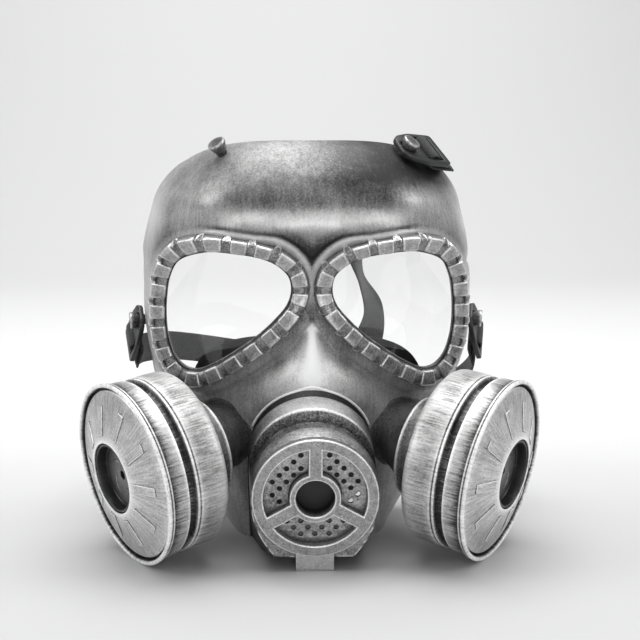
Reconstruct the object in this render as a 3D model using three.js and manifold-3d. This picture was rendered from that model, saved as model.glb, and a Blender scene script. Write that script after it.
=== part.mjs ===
// Costume respirator mask that stands on its chin tab, jaw edge and canister rims.
// Millimetres, +Z up, the face looks along -Y. Left is the side at -X.
import * as THREE from 'three';
import { mergeVertices } from 'three/addons/utils/BufferGeometryUtils.js';
import Module from 'manifold-3d';

const wasm = await Module();
wasm.setup();
const V = (x, y, z) => new THREE.Vector3(x, y, z);

// Driving dimensions
const FRAME_SHIFT_Y = 1;
const WALL = 2.4;
const GAP = 0.4;
const SHELL = { columns: 24, rows: 15, bottom: -3, jawRise: 30, top: 209, topDrop: 14 };

// Half plan of the face at each height: y on the middle line, then four stations out to the rear edge
const FACE = [
  { z: 0, y0: -44, x1: 20, y1: -44, x2: 36, y2: -38, x3: 46, y3: -4, x4: 56, y4: 24 },
  { z: 25, y0: -46, x1: 22, y1: -46, x2: 39, y2: -38, x3: 56, y3: -8, x4: 68, y4: 25 },
  { z: 50, y0: -48, x1: 22, y1: -48, x2: 42, y2: -38, x3: 63, y3: -14, x4: 78, y4: 26 },
  { z: 75, y0: -52, x1: 20, y1: -50, x2: 46, y2: -39, x3: 73, y3: -17, x4: 86, y4: 27 },
  { z: 95, y0: -56, x1: 20, y1: -52, x2: 48, y2: -42, x3: 78, y3: -20, x4: 89, y4: 27 },
  { z: 115, y0: -58, x1: 22, y1: -53, x2: 50, y2: -45, x3: 80, y3: -22, x4: 90.5, y4: 27 },
  { z: 132, y0: -54, x1: 24, y1: -53, x2: 52, y2: -46, x3: 80.5, y3: -22, x4: 91, y4: 26 },
  { z: 150, y0: -57, x1: 26, y1: -55, x2: 54, y2: -47, x3: 80, y3: -20, x4: 89.5, y4: 24 },
  { z: 165, y0: -63, x1: 28, y1: -60, x2: 55, y2: -48, x3: 79, y3: -18, x4: 86.5, y4: 20 },
  { z: 177, y0: -67, x1: 29, y1: -63, x2: 56, y2: -48, x3: 77, y3: -16, x4: 83, y4: 14 },
  { z: 188, y0: -62, x1: 29, y1: -58, x2: 54, y2: -44, x3: 71, y3: -13, x4: 76, y4: 7 },
  { z: 198, y0: -55, x1: 27, y1: -51, x2: 48, y2: -37, x3: 60.5, y3: -12, x4: 64.5, y4: -2 },
  { z: 206, y0: -46, x1: 24, y1: -42, x2: 40, y2: -30, x3: 48, y3: -16, x4: 51, y4: -10 },
  { z: 211, y0: -36, x1: 18, y1: -33, x2: 28, y2: -26, x3: 33, y3: -19, x4: 35, y4: -15 },
];

// Eye opening of the +X side, from the top round by the nose and the cheek
const EYE = [
  { x: 52, z: 154.5 }, { x: 36, z: 154 }, { x: 25, z: 152 }, { x: 16.5, z: 148 }, { x: 11, z: 142 },
  { x: 9.8, z: 134.5 }, { x: 12, z: 126.5 }, { x: 18, z: 119 }, { x: 26.5, z: 111 }, { x: 38, z: 102.3 },
  { x: 48.5, z: 95 }, { x: 57.2, z: 90.8 }, { x: 64.5, z: 91 }, { x: 70.6, z: 96.5 }, { x: 73.9, z: 106 },
  { x: 75, z: 117 }, { x: 74.5, z: 128 }, { x: 72.3, z: 139.5 }, { x: 66.5, z: 149.5 },
];
const RIM = {
  blocks: 20, slotShare: 0.34, width: 8.6, blockHigh: 7.2, slotHigh: 4.4, shoulder: 6.4, lift: 1.1,
  innerDrop: 9, frontal: 0.3, innerLeast: 1.9,
};
const FLANGE = { high: 2.0, reach: 12.5, fade: 3.5 };
const LENS = { thick: 1.2, behind: 1.1, overlap: 2.0, around: 24 };
const NOSE = { high: 2.4, halfWidth: 8, z: 108, halfHeight: 20 };
const BROW = {
  ridgeZ: 170.5, ridgeHigh: 1.3, ridgeSpread: 5.5, hollowZ: 181, hollowDeep: 3, hollowSpread: 7,
  arch: 0.0016, half: 34, fade: 20,
};

// Snout, measured along its own axis from the front of the valve ring
const MUZZLE = { x: 0, y: -100, z: 39.5, droop: 13, radius: 31.5, floor: 41, around: 20 };
const MUZZLE_STATIONS = [
  { w: 4.4, top: 30.8, foot: 19, flare: 0, chin: 9.6 },
  { w: 5.6, top: 31.5, foot: 20, flare: 0, chin: 8.6 },
  { w: 13.2, top: 31.5, foot: 22, flare: 0, chin: 4 },
  { w: 15.2, top: 24.6, foot: 22.5, flare: 0, chin: 3.6 },
  { w: 31.6, top: 24.6, foot: 26.5, flare: 0.6, chin: 0 },
  { w: 33.2, top: 31.3, foot: 27, flare: 0.8, chin: 0 },
  { w: 48.6, top: 31.3, foot: 31, flare: 1.2, chin: 0 },
  { w: 50.2, top: 28.6, foot: 31.5, flare: 1.4, chin: 0 },
  { w: 66, top: 28.6, foot: 31.5, flare: 1.4, chin: 0 },
];
const HOOD = { inner: 30.4, outer: 33.4, front: 52.4, back: 57.6, sweep: 5.5, spread: 74 };
const VALVE = {
  ring: 31.5, window: 25.7, hub: 12.7, bore: 9.6, thick: 4, hubDeep: 10.5, hubFloor: 1.5, spoke: 6.9,
  tabWide: 19, tabFront: 1.0,
};
const PLATE = {
  radius: 27.2, mouth: 27.6, front: 5.2, thick: 1.5, hole: 1.3, holeSides: 4, pitch: 3.5,
  near: 14.6, far: 23.8, spokeHalf: 5,
};

const CANISTER = { x: 95.1, y: -82.7, radius: 47, out: 57.6, down: 7.9, around: 18, bars: 10 };
const BAR = { long: 15, wide: 4.4, high: 2, radius: 30.4, height: 2.6 };
// Turned profiles about the canister axis, with the front of the rim at height zero
const CANISTER_FRONT = [
  { r: 42, h: -12.4 }, { r: 45.2, h: -12.4 }, { r: 45.2, h: -6.8 }, { r: 47, h: -5.4 }, { r: 47, h: -1.2 },
  { r: 45.8, h: 0 }, { r: 43.9, h: 0 }, { r: 43.9, h: -4 }, { r: 42, h: -4 },
];
const CANISTER_REAR = [
  { r: 0, h: -36.4 }, { r: 39.6, h: -36.4 }, { r: 43.6, h: -34.4 }, { r: 45, h: -31.4 }, { r: 45, h: -16.8 },
  { r: 41.5, h: -16.5 }, { r: 41.5, h: -9 }, { r: 39.2, h: -9 }, { r: 39.2, h: -34 }, { r: 0, h: -34 },
];
const CANISTER_FACE = [
  { r: 18, h: 3.9 }, { r: 43.4, h: -3.6 }, { r: 43.4, h: -1.6 }, { r: 19.2, h: 5.9 }, { r: 18, h: 6.1 },
];
const CANISTER_WELL = [
  { r: 2.2, h: -1.6 }, { r: 17.6, h: -1.6 }, { r: 17.6, h: 5.5 }, { r: 16.1, h: 5.5 }, { r: 16.1, h: 0 },
  { r: 2.2, h: 0 },
];
const NECK = [
  { x: 64.35, y: -63.2, z: 51.4, radius: 25.5, turn: 57.6, dip: 7.9 },
  { x: 54.3, y: -56.8, z: 53.1, radius: 25.5, turn: 57.6, dip: 7.9 },
  { x: 50.8, y: -44, z: 54, radius: 20, turn: 44, dip: 3 },
  { x: 48, y: -20, z: 53, radius: 14, turn: 40, dip: 0 },
];

const STUD = { neck: 2.7, head: 5.0, seat: 0.9, shoulder: 6.4, under: 7, top: 9 };
const BUCKLE = {
  thick: 2.6, back: -5.6, front: 23, narrow: 9, wide: 12, waist: 7, corner: 2,
  hole: 4.1, slotHalf: 9.2, seat: 3.7,
};
const SLOTS = [{ from: 9, to: 12.6 }, { from: 15.8, to: 19.4 }];
const STRAP = { wide: 17, thick: 1.2, step: 13 };

// Strap line through the slide, in the slide's own plane: along it and out of it
const WEAVE = [
  { along: 31, out: -5.6 }, { along: 22, out: -5.5 },
  { along: 16, out: -5.1 }, { along: 12.9, out: -3.6 },
  { along: 11.75, out: -1.6 }, { along: 11.6, out: 0.6 },
  { along: 11.95, out: 1.8 }, { along: 12.9, out: 2.35 },
  { along: 14.2, out: 2.45 }, { along: 15.5, out: 2.35 },
  { along: 16.45, out: 1.8 }, { along: 16.8, out: 0.6 },
  { along: 16.9, out: -1 }, { along: 17.8, out: -2.4 },
  { along: 20, out: -3.1 }, { along: 25, out: -3.4 },
];
// Band behind the head, from the slide at -X round the back to the slide at +X
const BAND = [
  { x: -96, y: 56, z: 84 }, { x: -84, y: 75, z: 82 }, { x: -66, y: 93, z: 77 },
  { x: -44, y: 107, z: 71 }, { x: -22, y: 115.4, z: 66 }, { x: 0, y: 119.1, z: 61 },
  { x: 22, y: 116.4, z: 55 }, { x: 44, y: 108, z: 49 }, { x: 66, y: 93, z: 47 },
  { x: 84, y: 74, z: 53 }, { x: 96, y: 55, z: 68 },
];
// Top strap behind the forehead: point and direction of its width
const TOP_RUN = [
  { x: 71, y: 14, z: 199, wx: 0.5, wy: -0.4, wz: -0.7 },
  { x: 63, y: 36, z: 188, wx: 0.7, wy: -0.2, wz: -0.6 },
  { x: 45, y: 60, z: 166, wx: 0.8, wy: 0.2, wz: -0.5 },
  { x: 33, y: 76, z: 145, wx: 0.75, wy: 0.6, wz: 0 },
  { x: 36, y: 88, z: 120, wx: 0.2, wy: 0.95, wz: 0.2 },
  { x: 44, y: 96, z: 99, wx: 0.7, wy: 0.6, wz: 0.3 },
  { x: 42, y: 101, z: 80, wx: 0.95, wy: -0.1, wz: 0.2 },
  { x: 37, y: 108, z: 62, wx: 0.93, wy: -0.34, wz: 0 },
  { x: 36, y: 109, z: 45, wx: 0.93, wy: -0.34, wz: 0 },
];

// Finishes
const finish = (color, metalness, roughness, extra = {}) =>
  new THREE.MeshStandardMaterial({ color, metalness, roughness, ...extra });
const PAINT = finish('#8d8d8c', 0.7, 0.45);
const BRIGHT = finish('#b9b9b7', 0.8, 0.35);
const DARK = finish('#3a3a3a', 0.6, 0.55);
const CLEAR = finish('#f4f6f7', 0, 0.05, { transparent: true, opacity: 0.25 });
const RUBBER = finish('#17181a', 0, 0.7);
const PLASTIC = finish('#303234', 0, 0.45);
const WEBBING = finish('#2b2c2e', 0, 0.9);

// Solids from points and triangles
const facesToGeometry = (points, faces) => {
  const solid = new THREE.BufferGeometry();
  const numbers = points.flatMap((p) => [p.x, p.y, p.z]);
  solid.setAttribute('position', new THREE.Float32BufferAttribute(numbers, 3));
  solid.setIndex(faces.flat());
  return solid;
};
const clean = (geometry) => {
  const bare = geometry.clone();
  ['normal', 'uv', 'color'].forEach((name) => bare.deleteAttribute(name));
  const merged = mergeVertices(bare, 1e-3);
  const index = [...merged.index.array];
  const kept = [];
  for (let i = 0; i < index.length; i += 3) {
    const [a, b, c] = index.slice(i, i + 3);
    if (a !== b && b !== c && a !== c) kept.push(a, b, c);
  }
  const at = merged.attributes.position;
  const corner = (i) => V(at.getX(i), at.getY(i), at.getZ(i));
  let volume = 0;
  for (let i = 0; i < kept.length; i += 3) {
    volume += corner(kept[i]).dot(corner(kept[i + 1]).cross(corner(kept[i + 2])));
  }
  if (volume < 0) for (let i = 0; i < kept.length; i += 3) [kept[i], kept[i + 1]] = [kept[i + 1], kept[i]];
  merged.setIndex(kept);
  return merged;
};
const toManifold = (geometry) => {
  const g = clean(geometry);
  return new wasm.Manifold(new wasm.Mesh({
    numProp: 3,
    vertProperties: new Float32Array(g.attributes.position.array),
    triVerts: new Uint32Array(g.index.array),
  }));
};
const fromManifold = (solid) => {
  const mesh = solid.getMesh();
  const g = new THREE.BufferGeometry();
  g.setAttribute('position', new THREE.Float32BufferAttribute(mesh.vertProperties, 3));
  g.setIndex([...mesh.triVerts]);
  return g;
};
const cut = (geometry, ...tools) =>
  fromManifold(tools.reduce((body, tool) => body.subtract(toManifold(tool)), toManifold(geometry)));
const join = (geometry, ...others) =>
  fromManifold(others.reduce((body, other) => body.add(toManifold(other)), toManifold(geometry)));
const mirror = (geometry) => clean(geometry.clone().applyMatrix4(new THREE.Matrix4().makeScale(-1, 1, 1)));
const block = (wide, deep, high, x, y, z) => new THREE.BoxGeometry(wide, deep, high).translate(x, y, z);
const belowFloor = () => block(600, 600, 100, 0, 0, -50);

// Closed tube through rings of points, with flat ends
const loft = (rings) => {
  const n = rings[0].length;
  const points = rings.flat();
  const faces = [];
  for (let r = 0; r + 1 < rings.length; r += 1) {
    for (let i = 0; i < n; i += 1) {
      const [a, b] = [r * n + i, r * n + ((i + 1) % n)];
      faces.push([a, b, b + n], [a, b + n, a + n]);
    }
  }
  [[0, true], [rings.length - 1, false]].forEach(([r, front]) => {
    const hub = points.length;
    points.push(rings[r].reduce((sum, p) => sum.add(p), V(0, 0, 0)).divideScalar(n));
    for (let i = 0; i < n; i += 1) {
      const [a, b] = [r * n + i, r * n + ((i + 1) % n)];
      faces.push(front ? [hub, b, a] : [hub, a, b]);
    }
  });
  return facesToGeometry(points, faces);
};
// Thick sheet between two grids of points
const sheet = (outer, inner) => {
  const [rows, columns] = [outer.length, outer[0].length];
  const points = [...outer.flat(), ...inner.flat()];
  const other = rows * columns;
  const id = (r, c) => r * columns + c;
  const faces = [];
  for (let r = 0; r + 1 < rows; r += 1) {
    for (let c = 0; c + 1 < columns; c += 1) {
      const [a, b, d, e] = [id(r, c), id(r, c + 1), id(r + 1, c + 1), id(r + 1, c)];
      faces.push([a, b, d], [a, d, e]);
      faces.push([other + a, other + d, other + b], [other + a, other + e, other + d]);
    }
  }
  const edge = [];
  for (let c = 0; c < columns; c += 1) edge.push(id(0, c));
  for (let r = 1; r < rows; r += 1) edge.push(id(r, columns - 1));
  for (let c = columns - 2; c >= 0; c -= 1) edge.push(id(rows - 1, c));
  for (let r = rows - 2; r > 0; r -= 1) edge.push(id(r, 0));
  edge.forEach((a, i) => {
    const b = edge[(i + 1) % edge.length];
    faces.push([b, a, other + a], [b, other + a, other + b]);
  });
  return facesToGeometry(points, faces);
};
// Closed band of section loops, as for a ring whose last station joins the first
const hoop = (stations) => {
  const [count, n] = [stations.length, stations[0].length];
  const faces = [];
  for (let s = 0; s < count; s += 1) {
    for (let i = 0; i < n; i += 1) {
      const [a, b] = [s * n + i, s * n + ((i + 1) % n)];
      const [c, d] = [((s + 1) % count) * n + i, ((s + 1) % count) * n + ((i + 1) % n)];
      faces.push([a, c, d], [a, d, b]);
    }
  }
  return facesToGeometry(stations.flat(), faces);
};
// Turned solid about the local Z axis from a closed profile of radius and height
const turned = (profile, around) => {
  const stations = [];
  for (let i = 0; i < around; i += 1) {
    const a = (i / around) * 2 * Math.PI;
    stations.push(profile.map(({ r, h }) => V(r * Math.cos(a), r * Math.sin(a), h)));
  }
  return clean(hoop(stations));
};
const flatCut = (outline, from, to) =>
  new THREE.ExtrudeGeometry(outline, { depth: to - from, bevelEnabled: false }).translate(0, 0, from);

// Face surface
const smooth = (t) => { const u = Math.min(1, Math.max(0, t)); return u * u * (3 - 2 * u); };
const COLUMNS = Object.keys(FACE[0]).filter((name) => name !== 'z');
const slopes = Object.fromEntries(COLUMNS.map((name) => {
  const rise = FACE.slice(1).map((row, i) => (row[name] - FACE[i][name]) / (row.z - FACE[i].z));
  return [name, FACE.map((row, i) => {
    if (i === 0) return rise[0];
    if (i === FACE.length - 1) return rise[i - 1];
    if (rise[i - 1] * rise[i] <= 0) return 0;
    const [before, after] = [FACE[i].z - FACE[i - 1].z, FACE[i + 1].z - FACE[i].z];
    const [p, q] = [2 * after + before, after + 2 * before];
    return (p + q) / (p / rise[i - 1] + q / rise[i]);
  })];
}));
const hermite = (t, a, ma, b, mb) => (2 * t ** 3 - 3 * t * t + 1) * a + (t ** 3 - 2 * t * t + t) * ma
  + (3 * t * t - 2 * t ** 3) * b + (t ** 3 - t * t) * mb;
const sectionAt = (height) => {
  const z = Math.min(FACE.at(-1).z, Math.max(FACE[0].z, height));
  const i = Math.min(FACE.length - 2, Math.max(0, FACE.findIndex((row) => row.z > z) - 1));
  const k = z >= FACE.at(-1).z ? FACE.length - 2 : i;
  const h = FACE[k + 1].z - FACE[k].z;
  return Object.fromEntries(COLUMNS.map((name) => [name, hermite((z - FACE[k].z) / h,
    FACE[k][name], slopes[name][k] * h, FACE[k + 1][name], slopes[name][k + 1] * h)]));
};
const planPoint = (section, s) => {
  const xs = [0, section.x1, section.x2, section.x3, section.x4];
  const ys = [section.y0, section.y1, section.y2, section.y3, section.y4];
  const xe = [-xs[1], ...xs, 2 * xs[4] - xs[3]];
  const ye = [ys[1], ...ys, 2 * ys[4] - ys[3]];
  const a = Math.min(3.999999, Math.abs(s) * 4);
  const k = Math.floor(a);
  const along = (e) => hermite(a - k, e[k + 1], (e[k + 2] - e[k]) / 2, e[k + 2], (e[k + 3] - e[k + 1]) / 2);
  return [Math.sign(s) * along(xe), along(ye)];
};
const facePoint = (s, z) => { const [x, y] = planPoint(sectionAt(z), s); return V(x, y, z); };
const faceNormal = (s, z) => {
  const across = facePoint(s + 0.01, z).sub(facePoint(s - 0.01, z));
  const up = facePoint(s, z + 0.8).sub(facePoint(s, z - 0.8));
  return across.cross(up).normalize();
};
const stationAt = (x, z) => {
  const section = sectionAt(z);
  let [low, high] = [0, 1];
  for (let i = 0; i < 30; i += 1) {
    const mid = (low + high) / 2;
    if (planPoint(section, mid)[0] > Math.abs(x)) high = mid; else low = mid;
  }
  return Math.sign(x || 1) * ((low + high) / 2);
};

// Eye outline with even steps along the middle of the rim
const eyeCurve = new THREE.CatmullRomCurve3(EYE.map(({ x, z }) => V(x, 0, z)), true, 'centripetal');
const eyeFrame = (u) => {
  const p = eyeCurve.getPointAt(((u % 1) + 1) % 1);
  const t = eyeCurve.getTangentAt(((u % 1) + 1) % 1);
  return { p, out: V(-t.z, 0, t.x) };
};
const EYE_FINE = Array.from({ length: 240 }, (_, i) => eyeFrame(i / 240));
const midSide = EYE_FINE[0].out.z > 0 ? 1 : -1;
EYE_FINE.forEach((f) => f.out.multiplyScalar(midSide));
const eyeOffset = (frame, distance) => frame.p.clone().addScaledVector(frame.out, distance);
const midLengths = EYE_FINE.reduce((list, f, i) => {
  const next = eyeOffset(EYE_FINE[(i + 1) % EYE_FINE.length], RIM.width / 2);
  return [...list, list[i] + next.distanceTo(eyeOffset(f, RIM.width / 2))];
}, [0]);
const eyeStation = (share) => {
  const want = (((share % 1) + 1) % 1) * midLengths.at(-1);
  const i = Math.min(EYE_FINE.length - 1, midLengths.findIndex((length) => length > want) - 1);
  const t = (want - midLengths[i]) / (midLengths[i + 1] - midLengths[i]);
  const [a, b] = [EYE_FINE[i], EYE_FINE[(i + 1) % EYE_FINE.length]];
  return { p: a.p.clone().lerp(b.p, t), out: a.out.clone().lerp(b.out, t).normalize() };
};
const eyeDistance = (x, z) => {
  let best = 1e9;
  let inside = false;
  EYE_FINE.forEach((f, i) => {
    const g = EYE_FINE[(i + 1) % EYE_FINE.length].p;
    const [ex, ez] = [g.x - f.p.x, g.z - f.p.z];
    const t = Math.min(1, Math.max(0, ((x - f.p.x) * ex + (z - f.p.z) * ez) / (ex * ex + ez * ez)));
    best = Math.min(best, Math.hypot(x - f.p.x - t * ex, z - f.p.z - t * ez));
    if ((f.p.z > z) !== (g.z > z) && x < f.p.x + ((z - f.p.z) / (g.z - f.p.z)) * ex) inside = !inside;
  });
  return inside ? -best : best;
};
// Raised flange round the eyes, the ridge of the nose, and the brow with the hollow over it
const relief = (x, z) => {
  const flange = FLANGE.high * (1 - smooth((eyeDistance(Math.abs(x), z) - FLANGE.reach) / FLANGE.fade));
  const lengthwise = smooth(1.4 - 1.4 * Math.abs(z - NOSE.z) / NOSE.halfHeight);
  const ridge = NOSE.high * Math.exp(-((x / NOSE.halfWidth) ** 2)) * lengthwise;
  const level = z + BROW.arch * x * x;
  const brow = BROW.ridgeHigh * Math.exp(-(((level - BROW.ridgeZ) / BROW.ridgeSpread) ** 2))
    - BROW.hollowDeep * Math.exp(-(((level - BROW.hollowZ) / BROW.hollowSpread) ** 2));
  return Math.max(flange, ridge) + brow * (1 - smooth((Math.abs(x) - BROW.half) / BROW.fade));
};
const facePlus = (s, z, lift) => {
  const p = facePoint(s, z);
  return p.addScaledVector(faceNormal(s, z), lift + relief(p.x, z));
};
const overFace = (x, z, lift) => facePlus(stationAt(x, z), z, lift);

// Snout frame: u to +X, v up across the axis, w back along it
const droop = THREE.MathUtils.degToRad(MUZZLE.droop);
const snout = (u, v, w) => V(MUZZLE.x + u, MUZZLE.y + w * Math.cos(droop) - v * Math.sin(droop),
  MUZZLE.z + w * Math.sin(droop) + v * Math.cos(droop));
const snoutMatrix = new THREE.Matrix4().makeBasis(V(1, 0, 0), V(0, -Math.sin(droop), Math.cos(droop)),
  V(0, -Math.cos(droop), -Math.sin(droop))).setPosition(MUZZLE.x, MUZZLE.y, MUZZLE.z);
const snoutRing = ({ w, top, foot, flare, chin }, inset, around = MUZZLE.around) => {
  const ring = [];
  const floor = -(MUZZLE.floor + w * Math.tan(droop)) - 1 + chin + inset;
  for (let i = 0; i < around; i += 1) {
    const a = (i / around) * 2 * Math.PI;
    const rise = Math.max(0, Math.cos(a)) ** 0.6;
    const r = MUZZLE.radius + flare - (MUZZLE.radius + flare - top) * rise - inset;
    if (Math.cos(a) >= 0) {
      ring.push(snout(r * Math.sin(a), r * Math.cos(a), w));
    } else {
      const down = -Math.cos(a);
      const side = Math.sign(Math.sin(a)) * Math.min(1, 2.2 * Math.abs(Math.sin(a)));
      const half = r + (foot - inset - r) * smooth(down) ** 1.3;
      ring.push(snout(half * side, floor * (1 - (1 - Math.min(1, 1.1 * down)) ** 1.5), w));
    }
  }
  return ring;
};

// Face moulding with canister necks, eye openings and mouth
const canisterMatrix = (() => {
  const [out, down] = [CANISTER.out, CANISTER.down].map(THREE.MathUtils.degToRad);
  const axis = V(Math.sin(out) * Math.cos(down), -Math.cos(out) * Math.cos(down), -Math.sin(down));
  const side = V(0, 0, 1).cross(axis).normalize();
  return new THREE.Matrix4().makeBasis(axis.clone().cross(side).negate(), side.negate(), axis)
    .setPosition(CANISTER.x, CANISTER.y, CANISTER.radius * Math.cos(down) - 1.2 * Math.sin(down));
})();
const faceGrid = (lift) => Array.from({ length: SHELL.rows + 1 }, (_, r) =>
  Array.from({ length: SHELL.columns + 1 }, (__, c) => {
    const s = -1 + (2 * c) / SHELL.columns;
    const top = SHELL.top - SHELL.topDrop * Math.abs(s) ** 3;
    const low = SHELL.bottom + SHELL.jawRise * smooth((Math.abs(s) - 0.72) / 0.28);
    const z = low + (top - low) * (r / SHELL.rows);
    return facePlus(s, z, lift);
  }));
const neckRing = ({ x, y, z, radius, turn, dip }, inset, slide) => {
  const [out, down] = [turn, dip].map(THREE.MathUtils.degToRad);
  const axis = V(Math.sin(out) * Math.cos(down), -Math.cos(out) * Math.cos(down), -Math.sin(down));
  const side = V(0, 0, 1).cross(axis).normalize();
  const up = axis.clone().cross(side);
  return Array.from({ length: 14 }, (_, i) => V(x, y, z).addScaledVector(axis, slide)
    .addScaledVector(side, (radius - inset) * Math.cos((i * Math.PI) / 7))
    .addScaledVector(up, (radius - inset) * Math.sin((i * Math.PI) / 7)));
};
// Lip of the hood over the collar
const hoodLip = () => loft(Array.from({ length: 9 }, (_, i) => {
  const share = -1 + i / 4;
  const a = THREE.MathUtils.degToRad(HOOD.spread * share);
  const [near, far] = [HOOD.front + HOOD.sweep * share ** 2, HOOD.back + HOOD.sweep * share ** 2];
  return [[HOOD.inner, near], [HOOD.outer, near + 0.6], [HOOD.outer + 0.6, far], [HOOD.inner, far]]
    .map(([r, w]) => snout(r * Math.sin(a), r * Math.cos(a), w));
}));
const eyeTool = () => {
  const outline = new THREE.Shape(Array.from({ length: 32 }, (_, i) => eyeFrame(i / 32).p)
    .map((p) => new THREE.Vector2(p.x, p.z)));
  return flatCut(outline, -10, 95).rotateX(Math.PI / 2);
};
const buildShell = () => {
  const inner = faceGrid(-WALL);
  const rim = [...inner[0], ...inner.slice(1).map((row) => row.at(-1)),
    ...inner.at(-1).slice(0, -1).reverse(), ...inner.slice(1, -1).map((row) => row[0]).reverse()];
  const rows = inner.length;
  const columns = inner[0].length;
  const points = [...inner.flat(), ...rim, V(0, 70, 95)];
  const faces = [];
  for (let r = 0; r + 1 < rows; r += 1) {
    for (let c = 0; c + 1 < columns; c += 1) {
      const a = r * columns + c;
      faces.push([a, a + 1, a + 1 + columns], [a, a + 1 + columns, a + columns]);
    }
  }
  const edge = rows * columns;
  rim.forEach((_, i) => faces.push([points.length - 1, edge + ((i + 1) % rim.length), edge + i]));
  const hollow = facesToGeometry(points, faces);
  const neck = loft(NECK.map((row) => neckRing(row, 0, 0)));
  const bore = loft(NECK.map((row, i) => neckRing(row, WALL, [1, 0, 0, -3][i])));
  const collar = cut(neck, hollow);
  const rear = MUZZLE_STATIONS.at(-1);
  const mouth = loft([{ ...rear, w: 30 }, { ...rear, w: 95 }].map((row) => snoutRing(row, -GAP)));
  const solid = join(sheet(faceGrid(0), inner), collar, mirror(collar), hoodLip());
  return cut(solid, bore, mirror(bore), eyeTool(), mirror(eyeTool()), mouth, belowFloor());
};

// Eye rim: blocks with lower slots between them
const buildRim = () => {
  const stations = [];
  const half = RIM.slotShare / 2;
  for (let i = 0; i < RIM.blocks; i += 1) {
    [[half + 0.03, true], [1 - half - 0.03, true], [1 - half + 0.03, false], [1 + half - 0.03, false]]
      .forEach(([share, high]) => {
        const frame = eyeStation((i + share) / RIM.blocks);
        const onFace = (o) => { const q = eyeOffset(frame, o); return overFace(q.x, q.z, 0); };
        const [here, there] = [onFace(0), onFace(0.5)];
        const up = faceNormal(stationAt(frame.p.x, frame.p.z), frame.p.z);
        const out = there.sub(here);
        out.addScaledVector(up, -out.dot(up)).normalize();
        const at = (o, n) => here.clone().addScaledVector(out, o).addScaledVector(up, n);
        const foot = (o) => { const q = at(o, 0); return overFace(q.x, q.z, RIM.lift); };
        const top = high ? RIM.blockHigh : RIM.slotHigh;
        const lean = RIM.innerDrop * Math.max(0, Math.abs(up.x) - RIM.frontal);
        const inner = Math.max(RIM.innerLeast, top - 0.6 - lean);
        const shoulder = high ? RIM.shoulder : RIM.shoulder - 0.6;
        stations.push([foot(0), at(0, inner), at(shoulder, top), foot(RIM.width)]);
      });
  }
  return clean(hoop(stations));
};
const buildLens = () => {
  const centre = EYE_FINE.reduce((sum, f) => sum.add(f.p), V(0, 0, 0)).divideScalar(EYE_FINE.length);
  const face = (lift) => [1, 0.5].map((scale) => Array.from({ length: LENS.around }, (_, i) => {
    const q = eyeOffset(eyeStation(i / LENS.around), LENS.overlap).lerp(centre, 1 - scale);
    return facePoint(stationAt(q.x, q.z), q.z)
      .addScaledVector(faceNormal(stationAt(q.x, q.z), q.z), FLANGE.high + lift);
  }));
  const front = face(-WALL - LENS.behind);
  const back = face(-WALL - LENS.behind - LENS.thick);
  return clean(loft([...front.reverse(), ...back]));
};

// Soft cup behind the mouth, open to the face
const CUP = [
  { w: 67, half: 35.5, up: 34, down: 34, rise: 0, square: 1 },
  { w: 80, half: 44, up: 40, down: 37, rise: 2, square: 0.9 },
  { w: 96, half: 56, up: 47, down: 36, rise: 3, square: 0.8 },
  { w: 112, half: 66, up: 51, down: 26, rise: 3, square: 0.7 },
];
const buildCup = () => {
  const ring = ({ w, half, up, down, rise, square }, inset) => Array.from({ length: 20 }, (_, i) => {
    const a = (i / 20) * 2 * Math.PI;
    const high = Math.cos(a) > 0 ? up : down;
    const peak = rise * Math.max(0, Math.cos(a)) ** 6;
    const bent = (c) => Math.sign(c) * Math.abs(c) ** square;
    const level = (high - inset) * bent(Math.cos(a)) + peak - w * 0.1;
    return snout((half - inset) * bent(Math.sin(a)), level, w);
  });
  return clean(hoop(Array.from({ length: 20 }, (_, i) => [
    ...CUP.map((row) => ring(row, 0)[i]), ...[...CUP].reverse().map((row) => ring(row, WALL)[i]),
  ])));
};

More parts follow.
